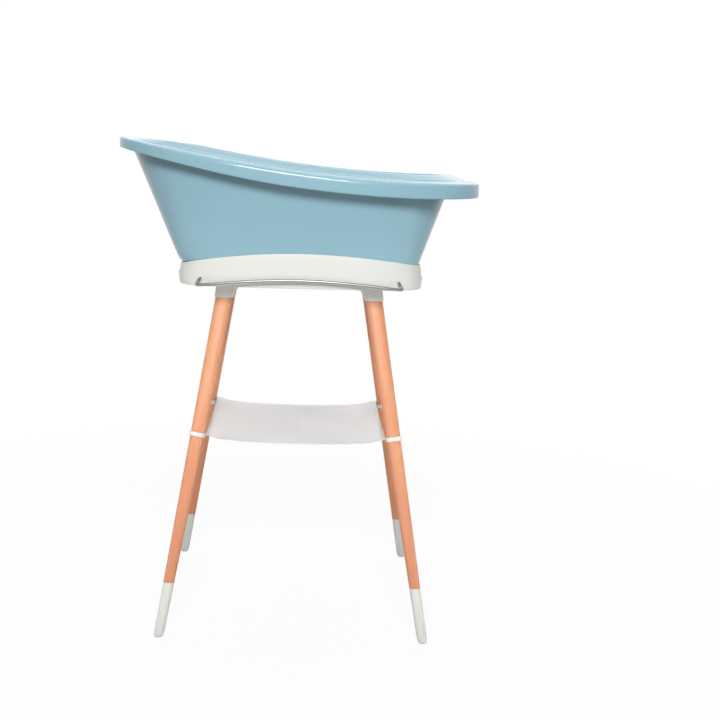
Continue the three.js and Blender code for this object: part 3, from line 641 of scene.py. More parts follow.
def rim(share, rise_left):
    """The rim from the raised lip at 0 to the outer edge at 1."""
    crest, edge = CREST.at(TURNS), EDGE.at(TURNS)
    x, y = (a + (b - a) * share for a, b in zip(crest, edge))
    fade = np.where(x < 0, smoothstep(-x, 230, 390), 0)
    rise = CREST_RISE * (1 - fade * (1 - HEAD_CREST_SHARE))
    return ring_of(x, y, edge_height(x) + rise * rise_left)


def crest_inside(drop, inset=LIP_WIDTH / 2):
    x, y = CREST.grown(-inset).at(TURNS)
    return ring_of(x, y, rim(0, 1)[:, 2] - drop)


def skirt(outset, depth=None):
    x, y = EDGE.grown(outset).at(TURNS)
    full = SKIRT_DEPTH_HEAD + (SKIRT_DEPTH - SKIRT_DEPTH_HEAD) * smoothstep(x, EDGE.left, 0)
    return ring_of(x, y, edge_height(x) - (full if depth is None else depth))


def ring_top(turns=TURNS):
    share = (KNEE.at(turns)[0] - KNEE.middle - RING_CREST_X) / KNEE.reach
    return RING_CREST_Z - RING_ARCH * np.abs(share) ** RING_ARCH_POWER


def ring_face(outset, z=None, drop=0.0, turns=TURNS):
    """The support ring's face, at a height or at a drop under its top edge."""
    top = ring_top(turns)
    wall = outer_wall(top, turns)
    away = np.stack([np.cos(turns), np.sin(turns) * 1.6], 1)
    away /= np.linalg.norm(away, axis=1)[:, None]
    flat = wall[:, :2] + away * (TUB_CLEARANCE + outset)
    return ring_of(flat[:, 0], flat[:, 1], top - drop if z is None else z)


LEDGE_TOP_Z = TUB_BASE_Z - GAP
LEDGE_BASE_Z = LEDGE_TOP_Z - LEDGE_T


# ---- The legs, read off the frame ----

class Leg:
    """A leaning, tapering leg: its middle and half sizes at any height, in millimetres."""

    def __init__(self, corner):
        points = np.array([v.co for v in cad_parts[f"leg_{corner}"].data.vertices]) / MM
        self.bottom = points[:, 2].min()
        self.ends = []
        for z in (CAP_LENGTH + GAP, points[:, 2].max()):
            row = points[np.abs(points[:, 2] - z) < 0.05]
            low, high = row.min(0), row.max(0)
            self.ends.append((z, (low + high)[:2] / 2, (high - low)[:2] / 2))
        (z0, middle0, _), (z1, middle1, _) = self.ends
        self.lean = (middle1 - middle0) / (z1 - z0)

    def at(self, z):
        (z0, middle0, half0), (z1, middle1, half1) = self.ends
        share = (z - z0) / (z1 - z0)
        return middle0 + (middle1 - middle0) * share, half0 + (half1 - half0) * share

    def ring(self, z, allowance=0.0, square=0.0, sides=56):
        """A rounded square round the leg, level or cut square to the leg."""
        middle, half = self.at(z)
        half = half + allowance
        turns = full_turn(sides)
        x, y = Plan(-half[0], half[0], half[1], LEG_POWER).at(turns)
        tilt = -square * (self.lean[0] * x + self.lean[1] * y)
        return ring_of(middle[0] + x, middle[1] + y, z + tilt)

    def rings(self, *rows):
        """Level rounded squares, one for each height and allowance."""
        return [self.ring(z, allowance) for z, allowance in rows]

    def pole(self, z):
        """The middle of the leg, which closes a skin's end."""
        middle, _ = self.at(z)
        return (*middle, z)

    def turn(self):
        """The turn that sets the leg's length upright."""
        axis = Vector((*self.lean, 1.0)).normalized()
        return tuple(axis.rotation_difference(Vector((0, 0, 1))).to_euler())


LEGS = {corner: Leg(corner) for corner in CORNERS}


# ---- What a user would change ----

def setting(kind, **rest):
    """A maker of settings of one kind, from a name, a default and a description."""
    def make(name, default, description):
        return kind(name=name, default=default, description=description, min=0.0, **rest)
    return make


colour_property = setting(FloatVectorProperty, subtype="COLOR", max=1.0)
share_property = setting(FloatProperty, subtype="FACTOR", max=1.0)
length_property = setting(FloatProperty, unit="LENGTH")
power_property = setting(FloatProperty, unit="POWER")


class TubSettings(bpy.types.PropertyGroup):
    colour: colour_property("Tub colour", (0.295, 0.51, 0.60), "Colour of the tub's plastic")
    roughness: share_property("Tub roughness", 0.26, "How matt the tub's plastic is")
    plug_colour: colour_property("Plug colour", (0.12, 0.14, 0.15), "Colour of the plug and its gasket")


class StandSettings(bpy.types.PropertyGroup):
    ring_colour: colour_property("Ring colour", (0.78, 0.78, 0.735), "Colour of the ring the tub stands in")
    cap_colour: colour_property("Cap colour", (0.64, 0.65, 0.61), "Colour of the foot caps")
    socket_colour: colour_property("Socket colour", (0.93, 0.92, 0.87), "Colour of the leg sockets")
    wood_light: colour_property("Light wood", (0.80, 0.365, 0.185), "Light colour of the wood")
    wood_dark: colour_property("Dark wood", (0.72, 0.28, 0.125), "Dark colour of the wood's figure")
    steel_colour: colour_property("Steel colour", (0.27, 0.265, 0.25), "Colour of the towel rails")
    steel_roughness: share_property("Steel roughness", 0.3, "How matt the towel rails are")


class ShelfSettings(bpy.types.PropertyGroup):
    colour: colour_property("Fabric colour", (0.93, 0.915, 0.92), "Colour of the shelf's fabric")
    openness: share_property("Openness", 0.66, "How much of the fabric is holes between its threads")
    thread_pitch: length_property("Thread pitch", 0.0016, "Distance between threads of the weave")
    stitch_pitch: length_property("Stitch pitch", 0.006, "Distance between stitches")
    stitch_length: length_property("Stitch length", 0.0019, "Half the length of a stitch")
    thread: length_property("Thread", 0.00035, "Radius of the sewing thread")


class SeatSettings(bpy.types.PropertyGroup):
    colour: colour_property("Seat colour", (0.36, 0.56, 0.67), "Colour of the seat's plastic")
    roughness: share_property("Seat roughness", 0.16, "How matt the seat's plastic is")
    cup_colour: colour_property("Cup colour", (0.25, 0.31, 0.35), "Colour of the suction cup")


class HoseSettings(bpy.types.PropertyGroup):
    colour: colour_property("Hose colour", (0.82, 0.82, 0.82), "Colour of the drain hose")


class StageSettings(bpy.types.PropertyGroup):
    fill: share_property("Fill light", 0.17, "Level of the light from all round in front")
    fill_behind: share_property("Fill light behind", 0.95, "Level of the light from all round behind")
    key: power_property("Key light", 84.0, "Power of the broad light in front")
    low: power_property("Low light", 0.45, "Power of the narrow light on the legs")
    side: power_property("Side lights", 1.1, "Power of each narrow light beside the legs")
    back: power_property("Back light", 25.0, "Power of the light behind and above")
    top: power_property("Top light", 8.0, "Power of the strip light overhead")
    floor: share_property("Floor tone", 0.25, "Tone of the floor as a source of light")


SETTINGS = {
    "bathtub_tub": TubSettings,
    "bathtub_stand": StandSettings,
    "bathtub_shelf": ShelfSettings,
    "bathtub_seat": SeatSettings,
    "bathtub_hose": HoseSettings,
    "bathtub_stage": StageSettings,
}


# ---- Pieces ----

class BATHTUB_OT_stage(bpy.types.Operator):
    """Make the camera, the floor, the world and the lamps"""
    bl_idname = "bathtub.stage"
    bl_label = "Stage"

    camera_at = (0.008, -2.3476, 1.020)
    camera_pitch, camera_roll = 79.114, 1.45
    camera_lens, camera_shift = 52.0, 0.0849
    floor_half, floor_sides, floor_speck = 9000.0, 64, 0.015
    white_near, white_from, white_to = 0.88, 0.6, 2.0
    fill_from, fill_to = -0.3, 0.8

    def execute(self, context):
        look = context.scene.bathtub_stage
        scene = context.scene
        scene.view_settings.view_transform = "Standard"
        camera = bpy.data.objects.new("Camera", bpy.data.cameras.new("Camera"))
        scene.collection.objects.link(camera)
        camera.data.lens = self.camera_lens
        camera.data.sensor_width = 36.0
        camera.data.shift_x = self.camera_shift
        pitch = Matrix.Rotation(math.radians(self.camera_pitch), 4, "X")
        roll = Matrix.Rotation(math.radians(self.camera_roll), 4, "Z")
        camera.matrix_world = Matrix.Translation(self.camera_at) @ pitch @ roll
        scene.camera = camera
        self.floor(look)
        self.world(scene, look)
        for name, power, size, place, aim, spread in (
            ("Key", look.key, (1.2, 0.8), (0.0, -3.2, 2.2), (0, 0, 0.8), 180),
            ("Low", look.low, (2.0, 0.3), (0.1, -3.2, 0.35), (0.1, 0, 0.35), 30),
            ("Side left", look.side, (1.0, 0.3), (-2.6, -1.8, 0.25), (0, 0, 0.25), 30),
            ("Side right", look.side, (1.0, 0.3), (2.6, -1.8, 0.25), (0, 0, 0.25), 30),
            ("Back", look.back, (4.0, 3.0), (0.3, 3.2, 3.0), (0, 0, 0.8), 180),
            ("Top", look.top, (2.2, 0.22), (0.0, 0.5, 3.0), (0, 0, 0.8), 180),
        ):
            lamp = bpy.data.objects.new(name, bpy.data.lights.new(name, "AREA"))
            lamp.data.energy = power
            lamp.data.shape = "RECTANGLE"
            lamp.data.size, lamp.data.size_y = size
            lamp.data.spread = math.radians(spread)
            scene.collection.objects.link(lamp)
            lamp.location = place
            lamp.rotation_euler = (Vector(aim) - Vector(place)).to_track_quat("-Z", "Y").to_euler()
        return {"FINISHED"}

    def seen_ray(self, shader):
        """1 for rays that show the background, straight or through gloss or glass."""
        path = shader.node("ShaderNodeLightPath", output="Is Camera Ray")
        return path + path.beside("Is Glossy Ray") + path.beside("Is Transmission Ray")

    def floor(self, look):
        """A wide round floor, which the camera sees as nearly white with the object's shadow on it."""
        turns = full_turn(self.floor_sides)
        radii = (self.floor_half, self.floor_half / 4)
        rings = [ring_of(r * np.cos(turns), r * np.sin(turns), 0.0) for r in radii]
        floor = skin("Floor", rings, end=(0, 0, 0))
        shader = Shader(bpy.data.materials.new("Pale floor"))
        away = shader.node("ShaderNodeVectorMath", {0: shader.place()}, output="Value", operation="LENGTH")
        speck = shader.noise(300.0) * self.floor_speck
        seen = self.seen_ray(shader)
        tone = shader.mix(seen, shade_of((look.floor,) * 3), shade_of((1.0,) * 3))
        tone = shader.mix(speck, tone, (0.0, 0.0, 0.0, 1.0))
        plain = shader.node("ShaderNodeBsdfDiffuse", {"Color": tone})
        white = shader.node("ShaderNodeEmission", {"Color": (1, 1, 1, 1), "Strength": 1.0})
        far = away.between(self.white_from, self.white_to)
        share = (far * (1 - self.white_near) + self.white_near) * seen
        mixed = shader.node("ShaderNodeMixShader", {0: share, 1: plain, 2: white})
        shader.node("ShaderNodeOutputMaterial", {"Surface": mixed})
        floor.data.materials.append(shader.owner)
        if floor.data.polygons[0].normal.z < 0:
            floor.data.flip_normals()

    def world(self, scene, look):
        """A room that is white to the camera and lights the object more from behind."""
        scene.world = bpy.data.worlds.new("White room")
        shader = Shader(scene.world)
        direction = shader.node("ShaderNodeSeparateXYZ", {0: shader.place()}, output="Y")
        behind = direction.between(self.fill_from, self.fill_to)
        fill = behind * (look.fill_behind - look.fill) + look.fill
        seen = self.seen_ray(shader)
        level = fill + seen * (1 - fill)
        glow = shader.node("ShaderNodeBackground", {"Color": (1, 1, 1, 1), "Strength": level})
        shader.node("ShaderNodeOutputWorld", {"Surface": glow})


class BATHTUB_OT_tub(bpy.types.Operator):
    """Make the moulded tub with its raised lip, flange and folded-down border"""
    bl_idname = "bathtub.tub"
    bl_label = "Tub"

    def execute(self, context):
        look = context.scene.bathtub_tub
        floor_shares = (1.0, 0.8, 0.6, 0.4, 0.2)
        rings = [
            ring_of(*KNEE.grown(-FLOOR_INSET).at(TURNS), FLOOR_TOP_Z),
            *(fillet(share, TUB_WALL) for share in floor_shares),
            wall_knee(TUB_WALL),
            *(wall_between(share, TUB_WALL) for share in (0.12, 0.5, 0.9)),
            wall_head(TUB_WALL),
            crest_inside(9), crest_inside(4), crest_inside(1.4, LIP_WIDTH / 2 - 0.4),
            crest_inside(0.2, LIP_WIDTH / 4),
            *(rim(share, rise) for share, rise in (
                (0, 1), (0.05, 0.99), (0.12, 0.93), (0.16, 0.87), (0.44, 0.51), (0.47, 0.46), (0.51, 0.37),
                (0.54, 0.345), (0.62, 0.33), (0.84, 0.22),
            )),
            *(skirt(*row) for row in (
                (-4.5, -2.4), (-2.2, -0.9), (-0.9, 1.2), (-0.4, 4.0), (-0.2, 10.0), (0,), (-0.9,),
                (-TUB_WALL + 0.9,), (-TUB_WALL,), (-TUB_WALL - 0.4, 12.0), (-TUB_WALL - 1, TUB_WALL + 3),
                (-TUB_WALL - 4, TUB_WALL + 0.5),
            )),
            wall_head(-3.0, TUB_WALL), wall_head(0.0, TUB_WALL + 2.0),
            *(wall_between(share) for share in (0.9, 0.5, 0.12)),
            wall_knee(),
            *(fillet(share) for share in reversed(floor_shares)),
            ring_of(*KNEE.grown(-FLOOR_INSET).at(TURNS), TUB_BASE_Z),
        ]
        tub = skin("tub", rings, start=(0, 0, FLOOR_TOP_Z), end=(0, 0, TUB_BASE_Z))
        subdivided(tub)
        cut(tub, cylinder(DRAIN_HOLE_R, TUB_BASE_Z - 5, FLOOR_TOP_Z + 5, DRAIN_X))
        plastic = moulded_plastic("Tub plastic", look.colour, look.roughness, 0.35)
        finished(tub, plastic, "tub", ["tub_shell"], 55)
        return {"FINISHED"}


class BATHTUB_OT_drain(bpy.types.Operator):
    """Make the drain's flange, gasket and nut, and the plug with its pull ring"""
    bl_idname = "bathtub.drain"
    bl_label = "Drain and plug"

    flange_wall, plug_height = 2.4, 5.0
    eye_rise, eye_r, loop_r, loop_wire_r = 4.5, 1.8, 9.0, 1.2

    def execute(self, context):
        tub, stand = context.scene.bathtub_tub, context.scene.bathtub_stand
        white = moulded_plastic("Drain plastic", stand.cap_colour, 0.4)
        dark = rubber("Plug rubber", tub.plug_colour, 0.6)
        steel = satin_steel("Pull ring steel", stand.steel_colour, 0.2)
        low, high = limits("drain_flange")
        spout = DRAIN_HOLE_R - GAP
        bore = spout - self.flange_wall
        wide = high.y
        flange = turned("drain_flange_face", [
            (bore, low.z + 0.5), (bore + 0.5, low.z), (spout - 0.5, low.z), (spout, low.z + 0.5),
            (spout, FLOOR_TOP_Z + GAP), (wide - 0.3, FLOOR_TOP_Z + GAP), (wide, FLOOR_TOP_Z + GAP + 0.4),
            (wide - 0.6, high.z - 0.7), (wide - 1.8, high.z - 0.1), (wide - 3, high.z), (bore + 1, high.z),
            (bore, high.z - 0.8),
        ], DRAIN_X)
        finished(flange, white, "tub", ["drain_flange"])
        painted(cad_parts["drain_gasket"], dark)
        painted(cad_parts["drain_nut"], white)
        base, top = high.z + GAP, high.z + GAP + self.plug_height
        plug = turned("plug_body", [
            (0, base - 9), (bore - 2.6, base - 9), (bore - 1.6, base - 8), (bore - 0.5, base), (19.4, base),
            (20, base + 0.6), (20, base + 2), (19, base + 3.2), (16, top - 0.2), (9, top - 0.6),
            (0, top - 0.6),
        ], DRAIN_X)
        ear = bevelled(block("ear", (DRAIN_X - 2, -5, top - 2), (DRAIN_X + 2, 5, top + 7)), 1.2)
        joined(plug, ear)
        eye_z = top + self.eye_rise
        eye = cylinder(self.eye_r, -6, 6, sides=24)
        cut(plug, placed(eye, (DRAIN_X, 0, eye_z), math.pi / 2, "Y"))
        finished(plug, dark, "plug", ["drain_plug"])
        turns, loop_r = full_turn(72), self.loop_r
        loop = ring_of(DRAIN_X + loop_r * np.cos(turns), 0.0, eye_z + loop_r + loop_r * np.sin(turns))
        ring = rod("pull_ring", loop, self.loop_wire_r, 20, steel, closed=True)
        finished(ring, steel, "plug", ["plug_pull_ring"])
        return {"FINISHED"}


class BATHTUB_OT_ring(bpy.types.Operator):
    """Make the support ring with its ledge, and the release buttons in its ends"""
    bl_idname = "bathtub.ring"
    bl_label = "Support ring and buttons"

    pad_end_y = 96.0
    button_base, button_top, button_half, plate_t = 760.5, 771.5, 20.0, 3.0

    def execute(self, context):
        look = context.scene.bathtub_stand
        base, bulge = RING_BASE_Z, RING_WALL + RING_BULGE
        rings = [
            *(ring_face(out, drop=drop) for out, drop in (
                (0, 1.2), (0.5, 0.25), (1.5, 0.0), (RING_WALL - 0.6, 0.2), (RING_WALL, 1.2),
                (RING_WALL + 1, 4),
            )),
            *(ring_face(out, z) for out, z in (
                (bulge - 0.7, base + 22), (bulge, base + 16), (bulge, base + 11), (bulge - 0.4, base + 5),
                (bulge - 0.8, base + 0.8), (bulge - 1.6, base), (1, base), (0, base + 0.8), (0, base + 4),
                (0, LEDGE_BASE_Z - 2), (-1.5, LEDGE_BASE_Z), (-LEDGE_WIDTH + 1, LEDGE_BASE_Z),
                (-LEDGE_WIDTH, LEDGE_BASE_Z + 1), (-LEDGE_WIDTH, LEDGE_TOP_Z - 1),
                (-LEDGE_WIDTH + 1, LEDGE_TOP_Z), (-1.0, LEDGE_TOP_Z), (0, LEDGE_TOP_Z + 1.5),
            )),
        ]
        for ring in rings:
            ring[:, 2] = np.round(ring[:, 2], 4)
        hoop = subdivided(skin("ring", rings, hoop=True))
        white = moulded_plastic("Ring plastic", look.ring_colour, 0.42, clouding=0.02)
        for corner, side_y in CORNERS.items():
            middle, half = LEGS[corner].at(LEDGE_BASE_Z)
            reach = half + SOCKET_WALL + 6
            inner, outer = sorted((side_y * self.pad_end_y, middle[1] - side_y * reach[1]))
            low = [middle[0] - reach[0], inner, LEDGE_BASE_Z + 0.05]
            high = [middle[0] + reach[0], outer, LEDGE_TOP_Z - 0.05]
            joined(hoop, block("pad", low, high))
        for corner in CORNERS:
            low, high = limits(f"leg_bolt_{corner}")
            middle = (low + high) / 2
            for radius, bottom in ((BOLT_R + GAP, LEDGE_BASE_Z - 9), (BOLT_HEAD_R + GAP, LEDGE_TOP_Z - 3.2)):
                bore = cylinder(radius, bottom, LEDGE_TOP_Z + 9, middle.x, middle.y, 32)
                cut(hoop, bore)
        for name, side in (("left", -1), ("right", 1)):
            self.button(hoop, name, side, white)
        for side in (-1, 1):
            for end in (-1, 1):
                bore = cylinder(RAIL_R + 0.6, -22, 22, sides=32)
                place = (STAND_X + end * (RAIL_HALF_SPAN - RAIL_HOOK), side * rail_bore_y(), RAIL_BORE_Z)
                cut(hoop, placed(bore, place, math.pi / 2, "X"))
        finished(hoop, white, "stand", ["support_ring"], 40)
        return {"FINISHED"}

    def button(self, hoop, name, side, white):
        """A button with three finger grooves, and the window it slides in."""
        node = f"release_button_{name}"
        low, high = limits(node)
        outer = low.x if side < 0 else high.x
        inner = high.x if side < 0 else low.x
        base, top, half = self.button_base, self.button_top, self.button_half
        window = block("window", (min(inner, outer) - 8, -half - GAP, base - GAP),
                       (max(inner, outer) + 8, half + GAP, top + GAP))
        cut(hoop, window)
        plate_x = inner + side * self.plate_t
        cap = block("cap", (min(plate_x - side, outer), -half, base), (max(plate_x - side, outer), half, top))
        bevelled(cap, 1.6, 4)
        plate = block("plate", (min(inner, plate_x), low.y, low.z), (max(inner, plate_x), high.y, high.z))
        joined(cap, bevelled(plate, 0.6, 2))
        for rib in (-1, 0, 1):
            low_corner = (outer - 0.7, rib * 6 - 0.6, base + 2.5)
            high_corner = (outer + 0.7, rib * 6 + 0.6, top - 2.5)
            cut(cap, block("groove", low_corner, high_corner))
        cap.name = f"button_{name}"
        finished(cap, white, f"button_{name}", [node])


def rail_turn():
    """The turn at which the ring's inner face is beside a rail's end."""
    turns = np.linspace(math.pi / 2, 0.2, 800)
    faces = ring_face(0, turns=turns)[:, 0] - STAND_X
    return turns[np.argmax(faces >= RAIL_HALF_SPAN - RAIL_HOOK)]


def rail_bore_y():
    return float(ring_face(0, turns=np.array([rail_turn()]))[0, 1])


class BATHTUB_OT_rails(bpy.types.Operator):
    """Make the two towel rails of bent steel wire"""
    bl_idname = "bathtub.rails"
    bl_label = "Towel rails"

    def execute(self, context):
        look = context.scene.bathtub_stand
        steel = satin_steel("Rail steel", look.steel_colour, look.steel_roughness)
        face = float(ring_face(RING_WALL + RING_BULGE, turns=np.array([math.pi / 2]))[0, 1])
        rail_y, end_x, bore_y = face + RAIL_STANDOFF, RAIL_HALF_SPAN - RAIL_HOOK, rail_bore_y()
        half = [
            (RAIL_HALF_SPAN * 0.32, rail_y, RAIL_MIDDLE_Z - 1.8),
            (RAIL_HALF_SPAN * 0.62, rail_y - 1, RAIL_MIDDLE_Z + (RAIL_END_Z - RAIL_MIDDLE_Z) * 0.4),
            (RAIL_HALF_SPAN * 0.9, rail_y - 4, RAIL_END_Z + 3),
            (RAIL_HALF_SPAN, rail_y - 10, RAIL_END_Z + 2),
            (RAIL_HALF_SPAN - RAIL_HOOK / 3, bore_y + 30, RAIL_BORE_Z - 5),
            *((end_x, bore_y + out, RAIL_BORE_Z) for out in (22, 12, 0, -10)),
        ]
        path = [(-x, y, z) for x, y, z in reversed(half)] + [(0, rail_y, RAIL_MIDDLE_Z)] + half
        for name, side in (("front", -1), ("back", 1)):
            points = smooth_line([(x + STAND_X, side * y, z) for x, y, z in path], 240)
            rail = rod(f"rail_{name}", points, RAIL_R, 24, steel)
            finished(rail, steel, "stand", [f"towel_rail_{name}"], 50)
        return {"FINISHED"}


class BATHTUB_OT_legs(bpy.types.Operator):
    """Make the four wooden legs with their sockets, foot caps and bolts"""
    bl_idname = "bathtub.legs"
    bl_label = "Legs"

    def execute(self, context):
        look = context.scene.bathtub_stand
        caps = moulded_plastic("Foot cap plastic", look.cap_colour, 0.48, clouding=0.02)
        sockets = moulded_plastic("Socket plastic", look.socket_colour, 0.5, clouding=0.02)
        steel = satin_steel("Bolt steel", look.steel_colour, 0.28)
        for corner, leg in LEGS.items():
            shoulder, top = leg.ends[0][0], leg.ends[1][0]
            wood = beech(f"Beech {corner}", look.wood_light, look.wood_dark, 0.46, leg.turn())
            core = -CAP_WALL - GAP
            rows = leg.rings(
                (leg.bottom, core - 1.0), (leg.bottom + 1.0, core), (shoulder - 1.0, core), (shoulder, core),
                (shoulder, -0.5), (shoulder + 0.5, 0.0),
                *((z, 0.0) for z in np.linspace(shoulder + 6, top - 4, 12)), (top - 0.6, -0.6), (top, -2.0),
            )
            pole = skin(f"leg_wood_{corner}", rows, start=leg.pole(leg.bottom), end=leg.pole(top))
            bolt_low, bolt_high = limits(f"leg_bolt_{corner}")
            middle = (bolt_low + bolt_high) / 2
            bore = cylinder(BOLT_R + GAP, bolt_low.z - 2, top + 5, middle.x, middle.y, 24)
            cut(pole, bore)
            finished(pole, wood, "stand", [f"leg_{corner}"])
            self.socket(leg, corner, sockets, middle)
            self.cap(leg, corner, caps)
            self.bolt(corner, bolt_low, bolt_high, steel)
        return {"FINISHED"}

    def socket(self, leg, corner, plastic, middle):
        """A sleeve under the ring, cut level, with a closed top."""
        out, top, low = GAP + SOCKET_WALL, LEDGE_BASE_Z - GAP, SOCKET_BASE_Z
        roof = leg.ends[1][0] + GAP
        rows = leg.rings(
            (top, out - 0.5), (top - 0.6, out), (top - 20, out), (low + 1.2, out), (low + 0.3, out - 0.3),
            (low, out - 0.9), (low, GAP + 0.2), (low + 1.0, GAP), (roof - 4, GAP), (roof, GAP),
        )
        sleeve = skin(f"socket_{corner}", rows, start=leg.pole(top), end=leg.pole(roof))
        bore = cylinder(BOLT_R + GAP, roof - 6, top + 6, middle.x, middle.y, 24)
        cut(sleeve, bore)
        finished(sleeve, plastic, "stand", [f"leg_socket_{corner}"])

    def cap(self, leg, corner, plastic):
        """A closed foot cap with a rounded toe, flush with the wood above it."""
        floor = leg.bottom - GAP
        rows = leg.rings(
            (0.0, -TOE_ROUND), (0.5, -4.4), (1.8, -2.7), (3.8, -1.3), (TOE_ROUND, -0.6),
            (1.8 * TOE_ROUND, 0.0), (CAP_LENGTH / 2, 0.0), (CAP_LENGTH - 0.5, 0.0), (CAP_LENGTH, -0.5),
            (CAP_LENGTH, -CAP_WALL + 0.4), (CAP_LENGTH - 0.4, -CAP_WALL), (floor + 1, -CAP_WALL),
            (floor, -CAP_WALL - 1),
        )
        cap = skin(f"cap_{corner}", rows, start=leg.pole(0.0), end=leg.pole(floor))
        finished(cap, plastic, "stand", [f"foot_cap_{corner}"])

    def bolt(self, corner, low, high, steel):
        """A countersunk-edged bolt with a cross recess."""
        middle, seat = (low + high) / 2, high.z - 2.6
        bolt = turned(f"bolt_{corner}", [
            (0, low.z), (2.4, low.z), (BOLT_R, low.z + 0.8), (BOLT_R, seat), (6.6, seat),
            (BOLT_HEAD_R, seat + 0.4), (BOLT_HEAD_R, seat + 1.3), (6.2, seat + 2.2), (5, high.z), (0, high.z),
        ], middle.x, middle.y, 40)
        for wide, deep in ((2.6, 0.5), (0.5, 2.6)):
            cut(bolt, block(
                "recess", (middle.x - wide, middle.y - deep, high.z - 1.4),
                (middle.x + wide, middle.y + deep, high.z + 1),
            ))
        finished(bolt, steel, "stand", [f"leg_bolt_{corner}"])


class BATHTUB_OT_shelf(bpy.types.Operator):
    """Make the fabric shelf with its hem and stitching, and the straps round the legs"""
    bl_idname = "bathtub.shelf"
    bl_label = "Shelf"

    end_z, tilt, corner_lift, sag = 424.0, 14.0, 10.0, 5.0
    loop_rise, loop_height, loop_wall = 8.0, 9.0, 1.8
    cloth, hem_cloth, hem_width = 1.1, 2.0, 9.0

    def middle_z(self, y):
        return self.end_z + self.tilt / 2 * y

    def surface(self, x, y):
        """The middle of the cloth at shares of -1 to 1 along and across, with its tension folds."""
        leg = LEGS["back_right"]
        z = self.middle_z(y) + self.loop_rise + self.loop_height / 2
        middle, half = map(np.array, zip(*(leg.at(v) for v in z)))
        end_x = (middle - half)[..., 0] - 2 * GAP - self.loop_wall - STAND_X
        half_depth = self.half_depth
        corner = np.abs(x) ** 6
        pull = np.exp(-((1 - np.abs(x)) / 0.28) ** 2) * np.exp(-((1 - np.abs(y)) / 0.4) ** 2)
        folds = 0.9 * pull * np.sin(9 * (1 - np.abs(x)) * 3.1 + 7 * (1 - np.abs(y)))
        ripple = 0.35 * np.sin(5.3 * x + 1.7 * y) * np.cos(3.1 * y - 1.1) * (1 - x ** 4)
        height = self.middle_z(y) + self.corner_lift * corner - self.sag * (1 - x * x) + folds + ripple
        seam = np.exp(-(x / 0.011) ** 2) * -1.3
        return ring_of(STAND_X + x * end_x, y * half_depth, height + seam)

    def execute(self, context):
        look = context.scene.bathtub_shelf
        cloth = woven("Shelf fabric", look.colour, look.thread_pitch, open_share=look.openness)
        webbing = woven("Strap fabric", [channel * 0.86 for channel in look.colour], look.thread_pitch)
        thread = woven("Shelf thread", [channel * 0.86 for channel in look.colour], look.thread_pitch * 0.3)
        self.half_depth = limits("storage_shelf")[1].y
        columns, rows = 99, 65
        seam = (-0.012, -0.006, 0.006, 0.012)
        xs = np.sort(np.append(np.linspace(-1, 1, columns - len(seam)), seam))
        ys = np.linspace(-1, 1, rows)
        grid = [self.surface(xs, np.full(columns, y)) for y in ys]
        centre = np.array(grid)
        width = np.linalg.norm(np.diff(centre[rows // 2], axis=0), axis=1).sum()
        depth = np.linalg.norm(np.diff(centre[:, columns // 2], axis=0), axis=1).sum()
        half_x = centre[rows // 2, -1, 0] - STAND_X
        thick = np.empty((rows, columns))
        for j, y in enumerate(ys):
            edge = np.minimum((1 - np.abs(xs)) * half_x, (1 - abs(y)) * self.half_depth)
            hem = 1 - smoothstep(edge, self.hem_width - 1, self.hem_width + 1)
            thick[j] = self.cloth + (self.hem_cloth - self.cloth) * hem
        half = thick[..., None] / 2 * (0, 0, 1)
        shelf = sheet_between("shelf", centre + half, centre - half)
        bevelled(shelf, 0.4, 2, 60)
        finished(shelf, cloth, "stand", ["storage_shelf"], 60)
        trim = [self.stitches(look, thread, half_x), *self.straps(webbing)]
        width * MM
        depth * MM
        return {"FINISHED"}

    def stitches(self, look, thread, half_x):
        """Rows of stitches round the hem and beside the middle seam."""
        tree = stitch_tree()
        share_x, share_y = 1 - (self.hem_width - 2) / half_x, 1 - (self.hem_width - 2) / self.half_depth
        run = np.linspace(-1, 1, 90)
        lines = [(run * share_x, np.full(90, side * share_y)) for side in (-1, 1)]
        lines += [(np.full(90, x), run * 0.97) for x in (-share_x, share_x, -0.02, 0.02)]
        made = []
        for i, (x, y) in enumerate(lines):
            points = self.surface(x, y)
            points[:, 2] += self.hem_cloth / 2 if i < 4 else self.cloth / 2
            row = line_object(f"stitch_row_{i}", points)
            made.append(along(row, tree, Pitch=look.stitch_pitch, Length=look.stitch_length,
                              Thread=look.thread, Material=thread))
        body = bmesh.new()
        for row in made:
            body.from_mesh(row.data)
            bpy.data.objects.remove(row)
        mesh = bpy.data.meshes.new("shelf_stitching")
        body.to_mesh(mesh)
        body.free()
        stitching = bpy.data.objects.new("shelf_stitching", mesh)
        bpy.context.scene.collection.objects.link(stitching)
        return finished(stitching, thread, "stand", degrees=60)

    def straps(self, cloth):
        """A band of folded fabric round each leg."""
        made = []
        for corner, side_y in CORNERS.items():
            leg = LEGS[corner]
            middle = self.middle_z(side_y) + self.loop_rise
            half = self.loop_height / 2
            outer, inner = GAP + self.loop_wall, GAP
            rows = [
                leg.ring(middle + z * half, inner + out * (outer - inner), 1.0)
                for z, out in ((1, 0.3), (1, 0.75), (0.9, 0.96), (0.6, 1), (0, 0.92), (-0.6, 1), (-0.9, 0.96),
                               (-1, 0.75), (-1, 0.3), (-0.9, 0.05), (0, 0), (0.9, 0.05))
            ]
            strap = skin(f"strap_{corner}", rows, hoop=True)
            made.append(finished(strap, cloth, "stand", [f"shelf_loop_{corner}"], 60))
        return made


# ---- The shape of the seat ----

